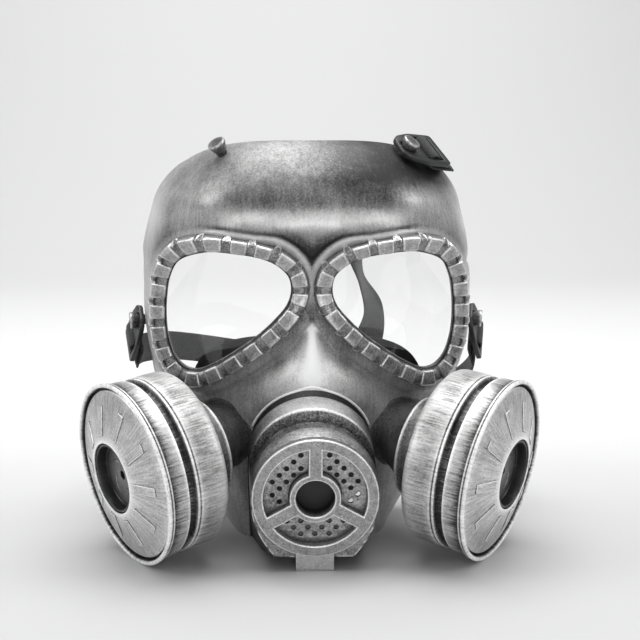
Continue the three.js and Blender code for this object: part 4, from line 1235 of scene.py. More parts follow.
@dataclass
class EyeRim:
    """Ring of blocks and slots round an eye window."""

    blocks: int = 20
    slot_share: float = 0.34
    width: float = 8.6
    block_high: float = 7.2
    slot_high: float = 6.0
    shoulder: float = 6.4
    sink: float = -0.35
    inner_drop: float = 9.0
    frontal: float = 0.3
    corner: float = 1.3
    temple_inset: float = 1.2
    scoop_foot: float = 9.6
    around: int = 320

    def slant(self, out: Array, up: Array, reach: Array | float, high: Array) -> Array:
        """Distance by which points shift inward, so that the sides of the ring run straight back.

        Args:
            out: Outward directions in the face.
            up: Normals of the face.
            reach: Distance outward of the points.
            high: Their heights.

        Returns:
            One distance a point.
        """
        flat_out, flat_up = out[..., [0, 2]], up[..., [0, 2]]
        rate = np.sum(flat_out * flat_up, -1) / np.maximum(0.25, np.sum(flat_out * flat_out, -1))
        share = np.interp(reach, [0, 8.2], [1.0, 0.5])
        inset = self.temple_inset * rise(np.abs(up[..., 0]), 0.5, 0.25) * np.interp(reach, [0, 8.8], [1, 0])
        return np.clip(rate, -1.5, 1.5) * high * share + inset

    def stations(self, shares: Array) -> tuple[Array, Array, Array]:
        """Feet, outward and upward directions at shares of the way round.

        Args:
            shares: Shares of the length of the ring's middle line.

        Returns:
            Points on the face, outward directions in it, and its normals.
        """
        line, out = FACE.outline, outward_of(FACE.outline)
        middle = line + out * self.width / 2
        run = run_length(np.vstack([middle, middle[:1]]))
        want = np.mod(shares, 1.0) * run[-1]
        ring = np.column_stack([line, out])
        ring = np.vstack([ring, ring[:1]])
        p = np.column_stack([np.interp(want, run, ring[:, k]) for k in range(4)])
        here = FACE.over(p[:, 0], p[:, 1], 0.0)
        there = FACE.over(p[:, 0] + 0.5 * p[:, 2], p[:, 1] + 0.5 * p[:, 3], 0.0)
        up = FACE.normal(FACE.station(p[:, 0], p[:, 1]), p[:, 1])
        outward = there - here
        outward = unit(outward - np.sum(outward * up, -1, keepdims=True) * up)
        return here, outward, up

    def sweep(self, form: Form, shares: Array, section: Sequence[Sequence[float]], drop: Array, tuck: Array,
              closed: bool, cover: Array, wear: Array, low: float) -> None:
        """Adds a run of sections along the ring.

        Args:
            form: Form that takes them.
            shares: Places of the sections round the ring.
            section: Rows of distance outward and height, where a height of None stands on the face.
            drop: Height taken off each section's upper points.
            tuck: Distance by which each section's inner points move outward.
            closed: True where the run goes all the way round.
            cover: Share of silver by section row.
            wear: Rubbed edge by station and section row.
            low: Least height of the lowered points.
        """
        here, out, up = self.stations(shares)
        lean = self.inner_drop * np.maximum(0, np.abs(up[:, 0]) - self.frontal)
        columns = []
        for o, n in section:
            if n is None:
                q = here + out * o
                columns.append(FACE.over(q[:, 0], q[:, 2], self.sink))
            else:
                lower = drop + lean * np.clip(1 - o / self.shoulder, 0, 1)
                high = np.maximum(n - lower, np.minimum(n, low))
                reach = o + tuck * np.clip(1 - o / 3, 0, 1) - self.slant(out, up, o, high)
                columns.append(here + out * reach[:, None] + up * high[:, None])
        form.grid(np.stack(columns, 1), loop_rows=closed, loop_columns=True,
                  cover=np.broadcast_to(cover[None], wear.shape), wear=wear)

    def pitch(self) -> float:
        """Length of one block and slot along the ring."""
        here, out, _ = self.stations(np.arange(400) / 400)
        middle = here + out * self.width / 2
        return float(np.linalg.norm(middle - np.roll(middle, 1, 0), axis=1).sum()) / self.blocks

    def base(self, form: Form) -> None:
        """Adds the plain ring at the level of the slots, with the ledge that holds the window."""
        count, high = self.around, self.slot_high
        section = [
            (-0.2, -1.5), (-0.75, -0.6), (-0.75, 0.5), (-0.5, 0.9), (0.0, 1.0), (0.15, high - 0.5),
            (0.6, high), (6.6, high), (7.4, high - 0.7), (8.5, None),
        ]
        # the ledge and inner wall round the window are near black: dark base and painted shade of the shadowed
        # window seat
        cover = np.array([0.03, 0.03, 0.08, 0.08, 0.03, 0.12, 0.25, 0.28, 0.3, 0.2])
        rubbed = np.array([0, 0.0, 0.45, 0.2, 0, 0.1, 0.35, 0.1, 0.3, 0])
        self.sweep(form, np.arange(count) / count, section, np.zeros(count), np.zeros(count), True, cover,
                   np.broadcast_to(rubbed[None], (count, len(section))), 1.2)

    def block(self, form: Form, index: int, pitch: float) -> None:
        """Adds one raised block.

        Args:
            form: Form that takes it.
            index: Number of the block.
            pitch: Length of one block and slot.
        """
        half = self.slot_share / 2
        long = pitch * (1 - self.slot_share)
        ends = np.array([0, 0.16, 0.42, 0.8, 1.3, 2.0])
        steps = np.concatenate([ends, [0.5 * long], long - ends[::-1]])
        shares = (index + half + steps / pitch) / self.blocks
        edge = np.minimum(steps, long - steps)
        drop = np.interp(edge, [0, 0.16, 0.42, 0.8], [2.4, 0.5, 0.12, 0.0])
        close = np.clip(edge, 0, self.corner)
        tuck = self.corner - np.sqrt(self.corner**2 - (self.corner - close) ** 2)
        top = self.block_high
        section = [
            (0.0, 1.8), (0.02, top - 1.3), (0.2, top - 0.7), (0.6, top - 0.45), (1.4, top - 0.4),
            (4.4, top - 0.1), (6.6, top), (7.3, top - 0.1), (7.75, top - 0.5), (8.15, top - 1.5),
            (8.8, None),
        ]
        rim = np.interp(edge, [0, 0.16, 0.42, 0.8, 1.3], [0.1, 0.8, 1.0, 0.45, 0.0])
        across = np.array([0.0, 0.25, 0.85, 0.8, 0.15, 0.0, 0.2, 0.9, 0.8, 0.35, 0.1])
        wear = np.maximum(rim[:, None] * np.array([0.1, 0.5, 1, 1, 1, 1, 1, 1, 0.8, 0.5, 0.2]), across[None])
        cover = np.array([0.05, 0.15, 0.34, 0.36, 0.36, 0.36, 0.38, 0.4, 0.36, 0.3, 0.15])
        cover[2:9] += 0.15 * rise(self.stations(shares[6:7])[0][0, 2], 106, 18)
        one = Form()
        self.sweep(one, shares, section, drop, tuck, False, cover, wear, 1.9)
        first, last = one.points[0][: len(section)], one.points[0][-len(section):]
        for ring in (first, last):
            one.cap(ring, cover=0.06, wear=0.0)
        form.join(one)

    def slot_end(self, form: Form, index: int, pitch: float) -> None:
        """Adds the rounded scoop in which a slot runs out over the ring's outer edge.

        Args:
            form: Form that takes it.
            index: Number of the slot.
            pitch: Length of one block and slot.
        """
        half = 0.5 * self.slot_share * pitch - 0.1
        here, out, up = (v[0] for v in self.stations(np.array([index / self.blocks])))
        along = np.cross(up, out)
        foot = here + out * self.scoop_foot
        ground = float((FACE.over(foot[None, 0], foot[None, 2], 0.0)[0] - here) @ up)
        reach = np.array([5.9, 6.6, 7.2, 7.6, 8.0, 8.4, 8.7, 8.95, 9.12, 9.2])
        share = np.array([-1, -0.96, -0.85, -0.7, -0.35, 0, 0.35, 0.7, 0.85, 0.96, 1])
        wide = half * np.sqrt(np.clip(1 - (np.maximum(0, reach - 7.9) / 1.32) ** 2, 0, 1))
        lean = np.interp(reach, [5.9, 7.0, 9.2], [0.0, 0.15, 1.0]) * (1 - 0.9 * rise(up[1], -0.93, 0.25))
        level = (self.slot_high + 0.15) * (1 - lean) + (ground + 1.0) * lean
        lip = np.array([-1.2, 0.35, 0.42, 0.1, 0, 0, 0, 0.1, 0.42, 0.35, -1.2])
        lip = lip[None] * np.interp(reach, [5.9, 6.6, 9.2], [0.2, 1.0, 1.0])[:, None]
        lip[-1] = -1.2
        lip[-2] = np.maximum(lip[-2], 0.3) * (np.abs(share) < 1) - 1.2 * (np.abs(share) == 1)
        set_back = np.array([self.slant(out, up, r, h) for r, h in zip(reach, level)])
        across = along * (wide[:, None] * share[None])[..., None]
        points = here + out * (reach - set_back)[:, None, None] + across + up * (level[:, None] + lip)[..., None]
        # lighter towards the scoop's outer end: more silver and a painted highlight there
        bright = np.interp(reach, [6.4, 7.8], [0.2, 0.5])[:, None]
        rubbed = np.array([0, 0.5, 1, 0.3, 0, 0, 0, 0.3, 1, 0.5, 0])[None] * np.ones((len(reach), 1))
        rubbed[-3:] = np.maximum(rubbed[-3:], np.array([0.7, 1.0, 0.4])[:, None])
        form.grid(points, cover=bright, wear=rubbed)

    def build(self, side: Side) -> Piece:
        """Builds the ring on one side."""
        form, pitch = Form(), self.pitch()
        self.base(form)
        for i in range(self.blocks):
            self.block(form, i, pitch)
            self.slot_end(form, i, pitch)
        return form.mesh(f"eye_rim_{side.word}", 60, side is Side.LEFT)


@dataclass
class Lens:
    """Clear sheet behind an eye opening.

    The sheet takes every second point of the outline and stops at its count of points round. With 96 of
    them it falls short of the opening's upper outer corner, which 120 would fill.
    """

    thick: float = 1.2
    behind: float = 1.1
    wall: float = 2.4
    overlap: float = 2.0
    around: int = 96
    rings: int = 12

    def build(self, side: Side) -> Piece:
        """Builds the window on one side."""
        line = FACE.outline[:: len(FACE.outline) // self.around][: self.around]
        edge, middle = line + outward_of(line) * self.overlap, line.mean(0)
        flat = middle + (edge[None] - middle) * np.linspace(1, 0.02, self.rings)[:, None, None]
        s, z = FACE.station(flat[..., 0], flat[..., 1]), flat[..., 1]
        normal = FACE.normal(s, z)
        front = FACE.plan(s, z) + normal * (FACE.flange_high - self.wall - self.behind)
        back = front - normal * self.thick
        form = Form()
        form.grid(np.concatenate([front[::-1], back]), loop_columns=True)
        form.cap(front[-1])
        form.cap(back[-1])
        return form.mesh(f"lens_{side.word}", 50, side is Side.LEFT)


@dataclass
class Muzzle:
    """Snout with its grooved top, flat foot and round mouth."""

    radius: float = 31.5
    floor: float = 41.0
    around: int = 96
    mouth: float = 27.6
    mouth_back: float = 4.3
    mouth_deep: float = 3.0
    wall: float = 2.4
    crown_power: float = 0.6
    side_square: float = 2.2
    foot_power: float = 1.3
    sole_flat: float = 1.1
    sole_power: float = 1.5
    sole_sink: float = 1.0
    lean_span: Point2 = (4.4, 9)
    # share of silver at the snout's sides and underside: less silver there and painted shade
    low_cover: float = 0.12
    stations: Rows = (
        # place along the axis, foot half width, flare and chin lift
        (4.4, 19, 0, 9.6), (5.6, 20, 0, 8.6), (13.2, 22, 0, 4), (31.6, 26.5, 0.6, 0), (48.6, 31, 1.2, 0),
        (66, 31.5, 1.4, 0),
    )
    profile: Rows = (
        # place along the axis, top radius, cover and wear
        (4.15, 30.5, 0.3, 0.0), (4.3, 30.7, 0.4, 0.0), (5.0, 30.9, 0.42, 0.0), (6.6, 31.3, 0.44, 0.1),
        (9.5, 31.5, 0.42, 0.1), (12.0, 31.5, 0.36, 0.1), (12.8, 31.3, 0.3, 0.3), (13.4, 30.6, 0.12, 0.1),
        (14.8, 25.4, 0.05, 0), (15.6, 24.7, 0.08, 0), (20, 24.6, 0.26, 0), (27, 24.6, 0.3, 0),
        (30.8, 24.7, 0.14, 0), (31.6, 25.4, 0.06, 0), (32.7, 30.2, 0.15, 0.3), (33.1, 30.9, 0.6, 1.0),
        (33.7, 31.3, 0.74, 0.9), (35, 31.35, 0.7, 0.3), (41, 31.35, 0.68, 0.15), (46.5, 31.3, 0.64, 0.2),
        (48.0, 31.0, 0.5, 0.3), (48.8, 30.2, 0.2, 0.1), (49.8, 28.9, 0.03, 0), (51, 28.6, 0.02, 0),
        (66, 28.6, 0.02, 0),
    )
    inner_rows: Rows = (
        # place along the axis and top radius of the inside
        (7.4, 30.0), (12.0, 30.0), (13.2, 24.6), (17, 24.6), (30, 24.6), (36, 28.6), (46, 28.6), (52, 28.6),
        (66, 28.6),
    )

    def ring(self, w: float, inset: float = 0.0, top: float | None = None) -> Array:
        """Outline of the snout at one place along its axis.

        Args:
            w: Place along the axis.
            inset: Distance inside the outer surface.
            top: Radius at the top, or None for the profile's.

        Returns:
            The points.
        """
        table, rows = np.array(self.stations), np.array(self.profile)
        foot, flare, chin = (np.interp(w, table[:, 0], table[:, k]) for k in (1, 2, 3))
        peak = np.interp(w, rows[:, 0], rows[:, 1]) if top is None else top
        tangent = math.tan(math.radians(SNOUT.droop))
        ground = -(self.floor + w * tangent) - self.sole_sink + chin + inset
        a = angles(self.around)
        crown = np.maximum(0, np.cos(a)) ** self.crown_power
        r = self.radius + flare - (self.radius + flare - peak) * crown - inset
        down = np.maximum(0, -np.cos(a))
        side = np.sign(np.sin(a)) * np.minimum(1, self.side_square * np.abs(np.sin(a)))
        half = r + (foot - inset - r) * smooth(down) ** self.foot_power
        upper = np.cos(a) >= 0
        u = np.where(upper, r * np.sin(a), half * side)
        sole = ground * (1 - (1 - np.minimum(1, self.sole_flat * down)) ** self.sole_power)
        v = np.where(upper, r * np.cos(a), sole)
        lean = math.tan(math.radians(Valve.upright)) * (1 - rise(w, *self.lean_span))
        p = SNOUT.out(u, v, w - lean * (self.radius - v))
        p[:, 2] = np.maximum(p[:, 2], 0)
        return p

    def build(self) -> Piece:
        """Builds the snout as one mesh."""
        rows, a = np.array(self.profile), angles(self.around)
        outer = np.stack([self.ring(w) for w in rows[:, 0]])
        top = np.maximum(0, np.cos(a))[None] ** 2
        form = Form()
        # silver only on the upper side, down to low_cover at the sides and underneath: less silver and painted
        # shade under the snout
        form.grid(outer, loop_columns=True, cover=self.low_cover + (rows[:, 2:3] - self.low_cover) * top,
                  wear=rows[:, 3:4] * (0.25 + 0.75 * top))
        depth = np.full(self.around, -self.mouth_back)
        bore = np.column_stack([self.mouth * np.sin(a), self.mouth * np.cos(a), depth])
        mouth, mouth_back = Valve.place(bore), Valve.place(bore - np.array([0, 0, self.mouth_deep]))
        inner = np.stack([self.ring(w, self.wall, top) for w, top in self.inner_rows])
        edge = self.ring(rows[0, 0], 0.7)
        front = np.stack([outer[0], edge, 0.5 * (edge + mouth), mouth, mouth_back, inner[0]])
        form.grid(front, loop_columns=True, cover=np.array([0.5, 0.36, 0.34, 0.3, 0.02, 0.02])[:, None],
                  wear=np.array([0.9, 0.0, 0.0, 0.0, 0.0, 0.0])[:, None])
        # no silver inside the snout: the bare dark base, held dark as painted shade of the shaded inside
        form.grid(inner, loop_columns=True, cover=-0.4)
        form.grid(np.stack([outer[-1], inner[-1]]), loop_columns=True, cover=0.02)
        return form.mesh("muzzle", 48)


@dataclass
class Valve:
    """Spoked cover in front of a pierced plate."""

    upright: ClassVar[float] = 5.0
    pivot: ClassVar[float] = 31.5
    ring: float = 31.2
    window: float = 25.5
    hub: float = 12.7
    bore: float = 9.6
    thick: float = 4.0
    hub_deep: float = 10.5
    spoke: float = 6.9
    tab_wide: float = 19.0
    tab_back: float = 1.0
    plate_radius: float = 27.2
    plate_front: float = 5.2
    plate_thick: float = 1.5
    hole: float = 1.35
    pitch: float = 3.5
    near: float = 14.6
    far: float = 23.8
    spoke_half: float = 5.0

    @staticmethod
    def place(p: Array) -> Array:
        """Local points, with height towards the front, in the part's frame."""
        c, s = math.cos(math.radians(Valve.upright)), math.sin(math.radians(Valve.upright))
        below = Valve.pivot - p[..., 1]
        return SNOUT.out(p[..., 0], Valve.pivot - below * c + p[..., 2] * s, -p[..., 2] * c - below * s)

    def windows(self) -> list[Array]:
        """The three openings between the spokes, clockwise."""
        made, third = [], 2 * math.pi / 3
        outer, inner = (math.asin(self.spoke / 2 / r) for r in (self.window, self.hub))
        for i in range(3):
            turn = math.pi / 2 + i * 2 * math.pi / 3
            a = np.linspace(turn + outer, turn + third - outer, 33)
            b = np.linspace(turn + third - inner, turn + inner, 21)
            loop = np.vstack([self.window * np.column_stack([np.cos(a), np.sin(a)]),
                              self.hub * np.column_stack([np.cos(b), np.sin(b)])])
            made.append(loop[::-1])
        return made

    def tab_foot(self) -> float:
        """Local height of the tab's foot on the floor."""
        droop, dip = math.radians(SNOUT.droop), math.radians(SNOUT.droop - self.upright)
        drop = (SNOUT.z + self.pivot * math.cos(droop)) / math.cos(dip)
        return self.pivot - drop - self.tab_back * math.tan(dip)

    def cover(self) -> Piece:
        """Builds the spoked cover with its hub and foot tab."""
        form, hub, deep = Form(), Form(), -self.hub_deep
        levels = [
            (0, -self.thick, 0.3, 0.0), (0, -1.0, 0.36, 0.1), (0.1, -0.4, 0.5, 0.8), (0.3, -0.08, 0.6, 1.0),
            (0.6, 0.0, 0.56, 0.6), (0.95, 0.0, 0.47, 0.0),
        ]
        loops = [circle(self.ring, 120), *self.windows(), circle(self.bore, 60, turns=-1)]
        plate(form, loops, levels, self.place)
        outside = self.hub - 0.02
        turned(hub, [(outside, -3.0, 0.1, 0), (outside, deep, 0.05, 0), (0.01, deep, 0.05, 0)], 60)
        # the bore darkens with depth down to the bare dark colour: painted shade in the hole
        turned(hub, [(self.bore + 0.02, -0.9, 0.3, 0.2), (self.bore, -3.0, 0.25, 0.1),
                     (self.bore - 0.2, deep + 1.5, -0.3, 0), (0.01, deep + 1.5, -0.2, 0)], 60)
        form.join(hub.moved(self.place))
        half, foot, head = self.tab_wide / 2, self.tab_foot(), -self.window - 3.4
        tab = rounded([(-half, foot), (half, foot), (half, head), (-half, head)], 0.8, 3)
        levels = [
            (0, -self.thick, 0.1, 0.0), (0, -1.6, 0.2, 0.5), (0.15, -1.15, 0.5, 0.9), (0.5, -1.0, 0.5, 0.6),
            (1.1, -self.tab_back, 0.72, 0.0),
        ]
        plate(form, [tab], levels, self.place)
        return form.mesh("valve_cover", 45)

    def holes(self) -> list[Point2]:
        """Middles of the holes in the plate."""
        found = []
        for i in range(-8, 9):
            for j in range(-8, 9):
                x, y = i * self.pitch, j * self.pitch
                free = all(
                    x * math.cos(a) + y * math.sin(a) < 0
                    or abs(y * math.cos(a) - x * math.sin(a)) > self.spoke_half
                    for a in map(math.radians, (90, 210, 330))
                )
                if (i + j) % 2 == 0 and self.near < math.hypot(x, y) < self.far and free:
                    found.append((x, y))
        return found

    def plate(self) -> Piece:
        """Builds the pierced plate."""
        form = Form()
        front = -self.plate_front
        loops = [circle(self.plate_radius, 96), circle(self.hub + 0.4, 60, turns=-1)]
        loops += [circle(self.hole, 14, x, y, -1) for x, y in self.holes()]
        levels = [
            (0, front - self.plate_thick, 0.0, 0.0), (0, front - 0.2, 0.0, 0.0),
            (0.06, front - 0.04, 0.4, 0.3), (0.2, front, 0.46, 0.1),
        ]
        plate(form, loops, levels, self.place)
        return form.mesh("valve_plate", 45)


@dataclass
class Canister:
    """Drum with a grooved wall, beaded rim, ribbed face and deep well."""

    around: int = 144
    bars: int = 10
    bar_long: float = 15.0
    bar_wide: float = 5.0
    bar_radius: float = 28.8
    bar_height: float = 2.9
    bar_corner: float = 0.7
    cone: Point2 = (7.5, 24.2)
    ribs: int = 4
    rib_turn: float = 1.25
    rib_span: Point2 = (5.2, 11.5)
    rib_points: int = 15
    front_rows: Rows = (
        # radius, height, cover and wear
        (42, -12.4, 0.05, 0), (44.6, -12.4, 0.15, 0.3), (45.05, -12.2, 0.6, 1.0), (45.2, -11.7, 0.62, 0.7),
        (45.3, -10.6, 0.6, 0.1), (45.35, -9.2, 0.58, 0), (45.35, -7.6, 0.5, 0), (45.3, -6.0, 0.34, 0),
        (45.2, -4.7, 0.18, 0), (45.15, -3.9, 0.06, 0), (45.3, -3.6, 0.1, 0), (46.1, -3.3, 0.4, 0.5),
        (46.5, -2.9, 0.6, 0.8), (46.5, -2.4, 0.5, 0.3), (46.2, -2.1, 0.12, 0), (46.2, -1.9, 0.12, 0),
        (46.6, -1.6, 0.5, 0.6), (46.95, -1.1, 0.6, 0.7), (46.9, -0.6, 0.62, 0.8), (46.4, -0.15, 0.64, 1.0),
        (45.7, 0.0, 0.64, 0.9), (45.1, -0.15, 0.6, 0.8), (44.75, -0.6, 0.3, 0.5), (44.6, -1.4, 0.06, 0),
        (44.5, -4, 0.02, 0),
        (42, -4, 0.02, 0), (42, -12.4, 0.02, 0),
    )
    rear_rows: Rows = (
        (0.01, -36.4, 0.1, 0), (38.5, -36.4, 0.1, 0), (40.4, -36.2, 0.2, 0.2), (42.2, -35.5, 0.35, 0.4),
        (43.6, -34.4, 0.55, 0.4), (44.6, -32.9, 0.62, 0.3), (45, -31.2, 0.6, 0.1), (45.1, -27, 0.5, 0),
        (45.1, -23, 0.46, 0), (45.05, -20.2, 0.55, 0.1), (45.0, -19.2, 0.6, 0.5), (44.7, -18.8, 0.3, 0.3),
        (44.45, -18.6, 0.12, 0), (44.5, -18.3, 0.2, 0.3), (44.9, -17.9, 0.5, 0.8), (45, -17.3, 0.55, 0.9),
        (44.8, -16.9, 0.45, 0.8), (44.2, -16.7, 0.2, 0.4), (42.2, -16.6, 0.06, 0), (41.7, -16, 0.06, 0),
        (41.6, -14, 0.12, 0.1), (41.5, -9, 0.05, 0), (39.2, -9, 0.02, 0), (39.2, -34, 0.02, 0),
        (0.01, -34, 0.02, 0),
    )
    face_rows: Rows = (
        (18, 3.9, 0.02, 0), (30, 0.2, 0.02, 0), (42.9, -3.6, 0.02, 0), (43.2, -3.2, 0.1, 0),
        (43.2, -2.0, 0.5, 0.4), (42.9, -1.6, 0.6, 0.7), (42.2, -1.25, 0.56, 0.2), (38, 0.07, 0.54, 0),
        (32, 1.93, 0.56, 0), (26, 3.8, 0.6, 0), (22, 5.0, 0.64, 0.1), (20.2, 5.6, 0.7, 0.2),
        (19.2, 5.9, 0.75, 0.5), (18.6, 6.1, 0.75, 0.8), (18.1, 5.95, 0.5, 0.6), (18, 5.5, 0.2, 0),
        (18, 3.9, 0.05, 0),
    )
    well_rows: Rows = (
        (2.2, -1.6, 0.02, 0), (17.6, -1.6, 0.02, 0), (17.6, 4.8, 0.1, 0), (17.4, 5.3, 0.2, 0.3),
        (16.9, 5.5, 0.1, 0.1), (16.4, 5.4, 0.04, 0), (16.1, 4.9, 0.02, 0), (16.1, 2, 0.0, 0),
        (16.0, 0.6, 0.0, 0), (15.4, 0.1, 0.05, 0), (14, 0, 0.3, 0), (9, 0, 0.38, 0), (3.2, 0, 0.38, 0.1),
        (2.5, -0.05, 0.3, 0.3), (2.2, -0.3, 0.05, 0), (2.2, -1.6, 0.0, 0),
    )

    def bar(self, form: Form, index: int) -> None:
        """Adds one raised bar on the face."""
        turn = (index + 0.5) * 2 * math.pi / self.bars
        half, wide = self.bar_long / 2, self.bar_wide / 2
        outline = rounded([(-half, -wide), (half, -wide), (half, wide), (-half, wide)], self.bar_corner, 4)
        slope = math.atan2(*self.cone)

        def place(p: Array) -> Array:
            """Local points on the cone of the face."""
            flat = p.reshape(-1, 3)
            r = self.bar_radius + flat[:, 0] * math.cos(slope) + flat[:, 2] * math.sin(slope)
            h = self.bar_height - flat[:, 0] * math.sin(slope) + flat[:, 2] * math.cos(slope)
            c, s = math.cos(turn), math.sin(turn)
            return np.column_stack([r * c - flat[:, 1] * s, r * s + flat[:, 1] * c, h]).reshape(p.shape)

        levels = [
            (0, -0.9, 0.1, 0), (0.0, 0.05, 0.15, 0.0), (0.12, 0.42, 0.45, 0.3), (0.35, 0.58, 0.6, 0.5),
            (0.8, 0.6, 0.56, 0.05),
        ]
        one = Form()
        plate(one, [outline], levels, place, backed=False)
        one.marks[Mark.BRUSH] = [round_brush(p) for p in one.points]
        form.join(one)

    def swirl(self, form: Form) -> None:
        """Adds the low curved ribs on the floor of the well."""
        n = self.rib_points
        for start in angles(self.ribs):
            a = np.linspace(0, self.rib_turn, n) + start
            r = np.linspace(*self.rib_span, n)
            middle = np.column_stack([r * np.cos(a), r * np.sin(a)])
            ahead = unit(np.gradient(middle, axis=0))
            left = np.column_stack([-ahead[:, 1], ahead[:, 0]])
            size = np.sin(np.linspace(0.12, math.pi - 0.12, n))[:, None]
            rows = [np.column_stack([middle + left * o * size, h * size[:, 0] - 0.1])
                    for o, h in ((-0.9, 0), (-0.5, 0.6), (0, 0.8), (0.5, 0.6), (0.9, 0))]
            form.grid(np.stack(rows), cover=0.25, wear=np.array([0, 0.3, 0.6, 0.3, 0])[:, None])

    def build(self, side: Side) -> list[tuple[Piece, str]]:
        """Builds the four pieces of one canister.

        Args:
            side: Side of the mask.

        Returns:
            Each piece with the word of the solid that it stands for.
        """
        forms = {word: Form() for word in ("rear", "front", "face", "well")}
        profiles = (self.rear_rows, self.front_rows, self.face_rows, self.well_rows)
        for form, rows in zip(forms.values(), profiles):
            turned(form, rows, self.around)
        for i in range(self.bars):
            self.bar(forms["face"], i)
        self.swirl(forms["well"])
        left = side is Side.LEFT
        return [(form.moved(CAN.place).mesh(f"canister_{side.word}_{word}", 35, left), word)
                for word, form in forms.items()]


@dataclass
class NoseCup:
    """Soft cup behind the mouth, open to the face."""

    wall: float = 2.4
    around: int = 96
    tilt: float = 0.1
    length: Point2 = (67, 111)
    lip_rows: Rows = ((111.6, 0.3), (112, 1.2), (111.6, 2.1))
    rows: Rows = (
        # place along the snout axis, half width, up, down, rise and squareness
        (67, 35.5, 34, 43, 0, 1.0), (80, 44, 40, 41, 1, 0.85), (96, 56, 46, 36, 1, 0.68),
        (112, 66, 49.5, 26, 0, 0.56),
    )

    def ring(self, w: float, inset: float) -> Array:
        """Outline of the cup at one place along the snout axis."""
        table = np.array(self.rows)
        half, up, down, lift, square = (np.interp(w, table[:, 0], table[:, k]) for k in range(1, 6))
        a = angles(self.around)
        high = np.where(np.cos(a) > 0, up, down) - inset
        peak = lift * np.maximum(0, np.cos(a)) ** 6
        u = (half - inset) * np.sign(np.sin(a)) * np.abs(np.sin(a)) ** square
        v = high * np.sign(np.cos(a)) * np.abs(np.cos(a)) ** square + peak - w * self.tilt
        return SNOUT.out(u, v, w)

    def build(self) -> Piece:
        """Builds the cup with a rounded rear lip."""
        along = np.linspace(*self.length, 23)
        rows = [*((w, 0) for w in along), *self.lip_rows, *((w, self.wall) for w in along[::-1])]
        form = Form()
        form.grid(np.stack([self.ring(w, inset) for w, inset in rows]), loop_rows=True, loop_columns=True)
        return form.mesh("nose_cup", 50)


@dataclass(frozen=True)
class Seat:
    """Place on the face where a stud stands."""

    origin: Array
    normal: Array

    def frame(self, along: Array, lean: float = 0.0, lift: float = 0.0) -> Array:
        """Axes of a piece on the stud.

        Args:
            along: Direction of the piece's length.
            lean: Turn in degrees that raises or lowers its free end.
            lift: Height over the face.

        Returns:
            A matrix of four columns: length, width, normal and origin.
        """
        x = unit(np.asarray(along, float) - (np.asarray(along, float) @ self.normal) * self.normal)
        turn = -math.radians(lean)
        hinge = unit(np.cross(self.normal, x))

        def swing(v: Array) -> Array:
            """Vector turned about the hinge."""
            c, s = math.cos(turn), math.sin(turn)
            return v * c + np.cross(hinge, v) * s + hinge * (hinge @ v) * (1 - c)

        x2, n2 = swing(x), swing(self.normal)
        return np.column_stack([x2, np.cross(n2, x2), n2, self.origin + self.normal * lift])


def put(axes: Array, p: Array) -> Array:
    """Local points in the frame of a seat."""
    return p[..., 0:1] * axes[:, 0] + p[..., 1:2] * axes[:, 1] + p[..., 2:3] * axes[:, 2] + axes[:, 3]


def seat_at(s: float, z: float, sink: float = 0.0) -> Seat:
    """Seat on the face by station and height."""
    return Seat(*FACE.at(s, z, -sink))


SIDE_SEAT = seat_at(0.95, 108)
TOP_SEAT = seat_at(0.55, 201.5)
TOP_LEFT_SEAT = seat_at(-0.5, 202, 1.4)


@dataclass
class Stud:
    """Stud with a broad head that a slide hooks on."""

    rows: Rows = (
        # radius, height, cover and wear
        (0.01, -2.0, 0.1, 0), (3.4, -2.0, 0.1, 0), (3.4, -0.4, 0.1, 0), (2.9, 0.3, 0.1, 0),
        (2.6, 1.2, 0.1, 0), (2.8, 2.4, 0.12, 0), (3.5, 4.4, 0.16, 0.1), (4.2, 6.2, 0.2, 0.1),
        (4.6, 7.2, 0.22, 0.2), (4.75, 8.0, 0.26, 0.5), (4.7, 8.6, 0.3, 0.8), (4.4, 8.95, 0.3, 0.8),
        (3.9, 9.0, 0.24, 0.2), (2.0, 8.85, 0.2, 0), (0.01, 8.8, 0.2, 0),
    )

    def build(self, name: str, seat: Seat, mirror: bool) -> Piece:
        """Builds one stud on its seat."""
        form = Form()
        turned(form, self.rows, 40)
        axes = seat.frame(np.array([0.0, 1.0, 0.0]))
        return form.moved(lambda p: put(axes, p)).mesh(name, 40, mirror)


@dataclass
class Slide:
    """Plastic slide with a stud hole and two slots for the strap."""

    thick: float = 2.6
    hole: float = 4.1
    slot_half: float = 9.2
    seat: float = 3.7
    slots: tuple[Point2, ...] = ((9.0, 12.6), (15.8, 19.4))
    corners: tuple[Point2, ...] = (
        (-2.6, -9), (7, -12), (23, -12), (23, 12), (7, 12), (-2.6, 9), (-5.6, 5.5), (-5.6, -5.5),
    )

    def build(self, name: str, axes: Array, mirror: bool) -> Piece:
        """Builds one slide in its frame."""
        loops = [rounded(self.corners, 2.4, 5), circle(self.hole, 36, turns=-1)]
        half, top = self.slot_half, self.thick / 2
        for low, high in self.slots:
            loops.append(rounded([(low, -half), (low, half), (high, half), (high, -half)], 0.9, 3))
        edge = ((0.5, top), (0.15, top - 0.12), (0, top - 0.45))
        levels = [(inset, -high, 0, 0) for inset, high in edge]
        levels += [(inset, high, 0, 0) for inset, high in edge[::-1]]
        form = Form()
        plate(form, loops, levels, lambda p: put(axes, p))
        return form.mesh(name, 40, mirror)


SIDE_SLIDE = SIDE_SEAT.frame(np.array([0.05, 0.62, -0.79]), 16, Slide().seat)
TOP_SLIDE = TOP_SEAT.frame(np.array([0.75, 0.62, -0.2]), 10, Slide().seat)


